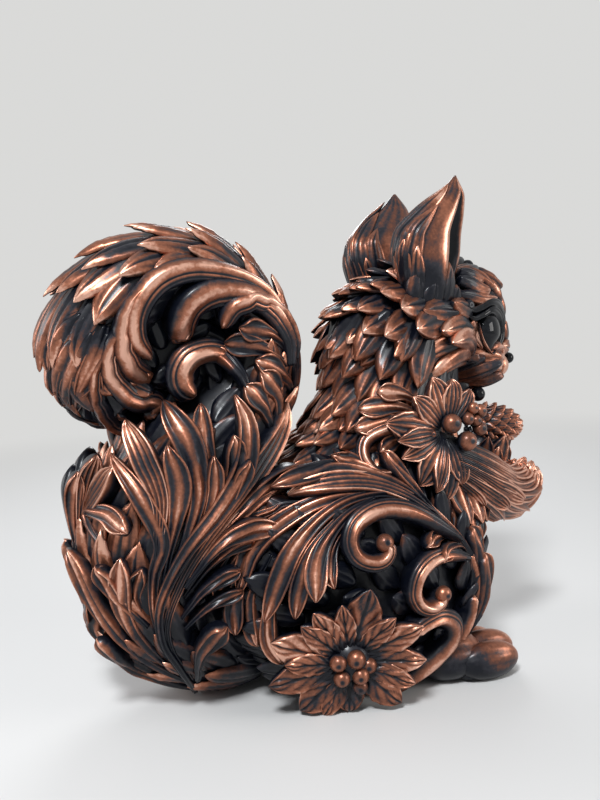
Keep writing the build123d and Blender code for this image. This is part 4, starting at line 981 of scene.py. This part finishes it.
for turn, start, end, width, curl in arm_lobes:
    count = 50
    last = len(arm_walk) - 1
    spine, normals = [], []
    for u in np.linspace(start, end, count):
        at = u * last
        i = min(int(at), last - 1)
        row = arm_walk[i] + (arm_walk[i + 1] - arm_walk[i]) * (at - i)
        tangent = unit(arm_walk[i + 1][:3] - arm_walk[i][:3])
        side = unit(np.cross(tangent, above))
        angle = math.radians(turn * (0.75 + 0.25 * u))
        out = side * math.cos(angle) - np.cross(side, tangent) * math.sin(angle)
        lift = curl * ((u - start) / (end - start)) ** 4
        spine.append(row[:3] + out * (row[3] * (0.62 + 0.38 * ease(0, 0.5, u)) * 0.92 + lift))
        normals.append(out)
    put("arm_right", strip(np.array(spine), np.array(normals), halves(count, blade_shares, width),
                           blade_profile(2.2, 2), depth=5.0, columns=17))

# Cone, its cup and the bead above it
cone_middle = np.array((69.0, 0.0, 83.0))
cone_half_length, cone_radius = 11, 6.6
cone_tilt = math.radians(8)
cone_way = np.array((math.cos(cone_tilt), 0, -math.sin(cone_tilt)))
cone_up = np.array((math.sin(cone_tilt), 0, math.cos(cone_tilt)))
scales = 96
scale_turn = 137.5
for k in range(scales):
    share = (k + 1) / (scales + 1)
    angle = math.radians(k * scale_turn)
    height = (2 * share - 1) * cone_half_length * 0.95
    radius = cone_radius * math.sqrt(max(1 - (height / 11.6) ** 2, 0.02))
    out = cone_up * math.cos(angle) + np.array((0, 1, 0)) * math.sin(angle)
    face_out = unit(out * radius / cone_radius ** 2 + cone_way * height / cone_half_length ** 2)
    root = cone_middle + cone_way * height + out * radius * 0.95
    free_leaf("cone_scales", root, cone_way, face_out, 4.8, 4.2, rubbed(leaf_profile(1.0, 0.3), 0.45),
              lift=0.22, curl=0.15, count=12, depth=0.9, columns=9)
put("cone_core", knob(cone_middle, cone_way, 6.0, rub_level=0.2, dimple=0.0))
put("cone_bead", knob(np.array((63.5, 0, 95.2)), above, 2.9, rub_level=0.1, dimple=0.1))
# Cupped leaves that rise from the hands and hold the cone
palm_middle, palm_sizes = np.array((65.0, 0.0, 70.5)), np.array((9.5, 7.5, 11.0))
u, v = polar(rings=24, around=36)
palm = np.stack((np.cos(u) + 0 * v, np.sin(u) * np.sin(v), np.sin(u) * np.cos(v)), -1)
put("cone_cup", grid_mesh(palm * palm_sizes + palm_middle, np.full(palm.shape[:2], 0.1)))
leaves_round_cup = 10
for row, (low, length, lean) in enumerate(((61, 15, 0.45), (66, 14, 0.7))):
    for k in range(leaves_round_cup):
        angle = 2 * math.pi * (k + row / 2) / leaves_round_cup
        out = np.array((math.cos(angle), math.sin(angle), 0.0))
        root = palm_middle + out * palm_sizes * (0.85, 0.85, 0) + above * (low - palm_middle[2])
        free_leaf("cone_cup", root, above + (0.35, 0, 0), out, length, 8, blade_profile(1.8), lift=0.05,
                  curl=0.16 * lean, depth=2)

# Feet: three grooved toes over a domed instep, with leaves under them
foot_eggs = (
    # centre, half sizes
    ((28, -31, 8), (13, 10, 8.5)), ((40, -38.5, 6.5), (11.5, 5.2, 6.6)), ((42.5, -31, 7), (12, 5.4, 7.2)),
    ((41, -23.5, 6.5), (11, 5.2, 6.6)))
u, v = polar(rings=30, around=48)
groove = 1 - 0.07 * (hill(np.cos(v), 0.0, 0.12) + hill(np.cos(v), 0.6, 0.1)) * np.sin(u) ** 2
for centre, (length, width, height) in foot_eggs:
    local = np.stack((np.cos(u) * length + 0 * v, np.sin(u) * np.sin(v) * width * groove,
                      np.sin(u) * np.cos(v) * height * groove), -1) + np.array(centre)
    put("foot_right", grid_mesh(local, (0.3 + 0.3 * np.cos(v) + 0.2 * np.cos(u)) * (groove ** 4)))
foot_middle = np.array((31.0, -31.0, 2.4))
for turn, length, width in ((-30, 17, 9), (-8, 19, 9), (14, 17, 9), (-70, 11, 8), (55, 11, 8)):
    aim = np.array((math.cos(math.radians(turn)), math.sin(math.radians(turn)), -0.1))
    free_leaf("foot_right", foot_middle, aim, above, length, width, blade_profile(1.6), lift=0.02, curl=0.0,
              depth=2.0)

# Every right-hand heap has a mirrored left-hand one
head_stems = ("ear", "eye", "eyelid", "cheek_leaves")
for name in [n for n in heaps if n.endswith("_right")]:
    stem = name[:-len("_right")]
    heaps[stem + "_left"] = [mirrored(mesh, of_head=stem in head_stems) for mesh in heaps[name]]


def linked(name, data):
    """Return a new object in the scene."""
    made = bpy.data.objects.new(name, data)
    bpy.context.scene.collection.objects.link(made)
    return made


def gather(name, meshes):
    """Make one object of a heap, in metres, with the rub as an attribute of its points."""
    places, quads, tris, rub, base = [], [], [], [], 0
    for mesh_places, faces, caps, mesh_rub in meshes:
        places.append(mesh_places)
        quads.append(faces + base)
        tris.append(np.array(caps) + base)
        rub.append(mesh_rub)
        base += len(mesh_places)
    places = np.vstack(places) * MM
    places[:, 2] = np.maximum(places[:, 2], 0.0)
    polygons = np.vstack(quads).tolist() + np.vstack(tris).tolist()
    mesh = bpy.data.meshes.new(name)
    mesh.from_pydata(places.tolist(), [], polygons)
    levels = mesh.attributes.new("rub", "FLOAT", "POINT").data
    levels.foreach_set("value", np.concatenate(rub).astype(np.float32))
    mesh.polygons.foreach_set("use_smooth", [True] * len(polygons))
    mesh.update()
    return linked(name, mesh)


# Materials
def add_node(tree, kind, sockets, **settings):
    """Add a shader node with its settings, and link its inputs to sockets or set them to values."""
    node = tree.nodes.new("ShaderNode" + kind)
    for key, value in settings.items():
        setattr(node, key, value)
    fill(tree, node, sockets)
    return node


def fill(tree, node, sockets):
    """Link a node's inputs to sockets, or set them to values."""
    for key, value in sockets.items():
        if isinstance(value, bpy.types.NodeSocket):
            tree.links.new(value, node.inputs[key])
        else:
            node.inputs[key].default_value = value


def colour_ramp(tree, share, stops):
    """Return the colour of a share between stops, each a place and a colour."""
    node = add_node(tree, "ValToRGB", {0: share})
    elements = node.color_ramp.elements
    for element, (at, colour) in ((elements[0], stops[0]), (elements[1], stops[-1])):
        element.position = at
        element.color = (*colour, 1)
    for at, colour in stops[1:-1]:
        elements.new(at).color = (*colour, 1)
    return node.outputs[0]


def noise(tree, scale, detail):
    """Return noise that is fixed to the object."""
    place = add_node(tree, "TexCoord", {}).outputs["Object"]
    return add_node(tree, "TexNoise", {"Vector": place, "Scale": scale, "Detail": detail}).outputs["Fac"]


def material(name):
    """Return a new material, its node tree and its shader."""
    made = bpy.data.materials.new(name)
    made.use_nodes = True
    return made, made.node_tree, made.node_tree.nodes["Principled BSDF"]


def copper_material():
    """Dark lacquer rubbed back to copper on whatever stands proud."""
    made, tree, shader = material("rubbed_copper")
    rub = add_node(tree, "Attribute", {}, attribute_name="rub").outputs["Fac"]
    patches = noise(tree, scale=55, detail=5)
    grain = noise(tree, scale=900, detail=3)
    uneven = add_node(tree, "Math", {0: patches, 1: 0.5}, operation="SUBTRACT").outputs[0]
    mixed = add_node(tree, "Math", {0: uneven, 1: 1.25, 2: rub}, operation="MULTIPLY_ADD").outputs[0]
    bare = add_node(tree, "Math", {0: grain, 1: 0.26, 2: mixed}, operation="MULTIPLY_ADD").outputs[0]
    # The bluish grey stop at 0.53, between black and copper, is partly a silver-blue dry-brushed tone and
    # partly a painted bluish sheen on the lacquer.
    stops = ((0.36, (0.003, 0.004, 0.008)), (0.53, (0.02, 0.02, 0.026)), (0.68, (0.13, 0.05, 0.031)),
             (0.87, (0.36, 0.14, 0.083)), (1.0, (0.68, 0.38, 0.28)))
    metal = add_node(tree, "MapRange", {"Value": bare, "From Min": 0.5, "From Max": 0.85, "To Min": 0.0,
                                        "To Max": 0.9})
    rough = add_node(tree, "MapRange", {"Value": grain, "To Min": 0.24, "To Max": 0.44})
    bump = add_node(tree, "Bump", {"Height": patches, "Strength": 0.12, "Distance": 0.0004})
    fill(tree, shader, {
        "Base Color": colour_ramp(tree, bare, stops), "Metallic": metal.outputs[0],
        "Roughness": rough.outputs[0], "Normal": bump.outputs[0], "Specular IOR Level": 0.2,
        "Coat Weight": 0.12, "Coat Roughness": 0.16})
    return made


def lacquer_material(name, colour, roughness, coat):
    """Dark lacquer with a faint speckle."""
    made, tree, shader = material(name)
    speckle = noise(tree, scale=700, detail=2)
    stops = ((0.35, colour), (0.75, [c * 2.2 + 0.004 for c in colour]))
    fill(tree, shader, {"Base Color": colour_ramp(tree, speckle, stops), "Roughness": roughness,
                        "Specular IOR Level": 0.2, "Coat Weight": coat})
    return made


copper = copper_material()
lacquer = lacquer_material("dark_lacquer", (0.0025, 0.003, 0.005), roughness=0.45, coat=0.1)
gloss = lacquer_material("gloss_black", (0.002, 0.0025, 0.004), roughness=0.06, coat=0.0)
# Slot and finish of each piece that differs from the rest
slots = {"head_core": ("dark_lacquer", copper), "nose": ("gloss_black", gloss),
         "cone_bead": ("dark_lacquer", gloss)}
for side in ("_right", "_left"):
    slots["eye" + side] = ("gloss_black", gloss)
    slots["eyelid" + side] = ("dark_lacquer", gloss)

# The cores of torso and tail show as lacquer, deep between the leaves
for name in ("body_core", "tail_core"):
    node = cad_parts[name]
    node.data.materials.clear()
    node.data.materials.append(lacquer)

for name, meshes in heaps.items():
    piece = gather(name + "_detail", meshes)
    slot_name, finish = slots.get(name, ("copper_rub", copper))
    piece.data.materials.append(finish)
    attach(piece, "root")
    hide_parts(name)

# Floor, backdrop and light
backdrop_colour = (0.7, 0.7, 0.69, 1)
floor_colour = (0.66, 0.655, 0.645, 1)
sky_colour = (0.92, 0.95, 1.0, 1)
fade_starts, fade_ends = 220, 900


def seen_rays(tree):
    """Return one for rays from the camera, a mirror or glass, and zero for the rest."""
    ray = add_node(tree, "LightPath", {})
    total = ray.outputs["Is Camera Ray"]
    for kind in ("Is Glossy Ray", "Is Transmission Ray"):
        total = add_node(tree, "Math", {0: total, 1: ray.outputs[kind]}, operation="MAXIMUM").outputs[0]
    return total


def floor_material():
    """A pale matt floor that fades into the backdrop away from the object."""
    made, tree, shader = material("pale_floor")
    fill(tree, shader, {"Base Color": floor_colour, "Roughness": 0.55})
    place = add_node(tree, "TexCoord", {}).outputs["Object"]
    reach = add_node(tree, "VectorMath", {0: place}, operation="LENGTH").outputs["Value"]
    fade = {"Value": reach, "From Min": fade_starts * MM, "From Max": fade_ends * MM}
    far = add_node(tree, "MapRange", fade, interpolation_type="SMOOTHSTEP").outputs[0]
    share = add_node(tree, "Math", {0: far, 1: seen_rays(tree)}, operation="MULTIPLY").outputs[0]
    glow = add_node(tree, "Emission", {"Color": backdrop_colour}).outputs[0]
    mix = add_node(tree, "MixShader", {0: share, 1: shader.outputs[0], 2: glow}).outputs[0]
    fill(tree, tree.nodes["Material Output"], {"Surface": mix})
    return made


floor_span = 3000 * MM
sheet = bpy.data.meshes.new("floor")
sheet.from_pydata([(-floor_span, -floor_span, 0), (floor_span, -floor_span, 0), (floor_span, floor_span, 0),
                   (-floor_span, floor_span, 0)], [], [(0, 1, 2, 3)])
sheet.materials.append(floor_material())
linked("floor", sheet)

world = bpy.data.worlds.new("studio")
bpy.context.scene.world = world
world.use_nodes = True
tree = world.node_tree
sky = tree.nodes["Background"]
fill(tree, sky, {"Color": sky_colour, "Strength": 0.25})
seen = add_node(tree, "Background", {"Color": backdrop_colour})
choice = add_node(tree, "MixShader", {0: seen_rays(tree), 1: sky.outputs[0], 2: seen.outputs[0]})
fill(tree, tree.nodes["World Output"], {"Surface": choice.outputs[0]})


def stand(piece, axes, place):
    """Stand a lamp or camera at a place, with its own X, Y and Z as given."""
    rows = np.vstack((np.column_stack((*axes, np.array(place) * MM)), (0, 0, 0, 1)))
    piece.matrix_world = Matrix(rows.tolist())


lit_middle = np.array((0, 0, 80))


def lamp(name, place, size, power, colour=(1, 1, 1)):
    """Add a square lamp that faces the middle of the object."""
    light = bpy.data.lights.new(name, "AREA")
    light.size = size * MM
    light.energy = power
    light.color = colour
    back = unit(np.array(place) - lit_middle)
    right = unit(np.cross(above, back))
    stand(linked(name, light), (right, np.cross(back, right), back), place)


lamp("key", (-260, -420, 620), size=150, power=5.6, colour=(0.94, 0.97, 1))
lamp("front", (520, -380, 240), size=260, power=1.5, colour=(1, 0.98, 0.95))
lamp("back", (200, 600, 420), size=300, power=2.0, colour=(0.95, 0.97, 1))
lamp("rear", (-600, 250, 300), size=260, power=1.4)

# Camera
yaw, pitch, roll = (math.radians(angle) for angle in (camera_yaw, camera_pitch, camera_roll))
image_right = np.array((math.cos(yaw), -math.sin(yaw), 0))
level = np.array((math.sin(yaw), math.cos(yaw), 0))
look = level * math.cos(pitch) - above * math.sin(pitch)
head_up = above * math.cos(pitch) + level * math.sin(pitch)
image_x = image_right * math.cos(roll) - head_up * math.sin(roll)
image_y = image_right * math.sin(roll) + head_up * math.cos(roll)
sensor_mm = 36
camera = bpy.data.cameras.new("camera")
camera.sensor_width = sensor_mm
camera.lens = sensor_mm * camera_focal_px / frame_long_px
camera.clip_start = 0.01
camera_object = linked("camera", camera)
stand(camera_object, (image_x, image_y, -look), camera_place)
bpy.context.scene.camera = camera_object
bpy.context.scene.view_settings.view_transform = "Standard"
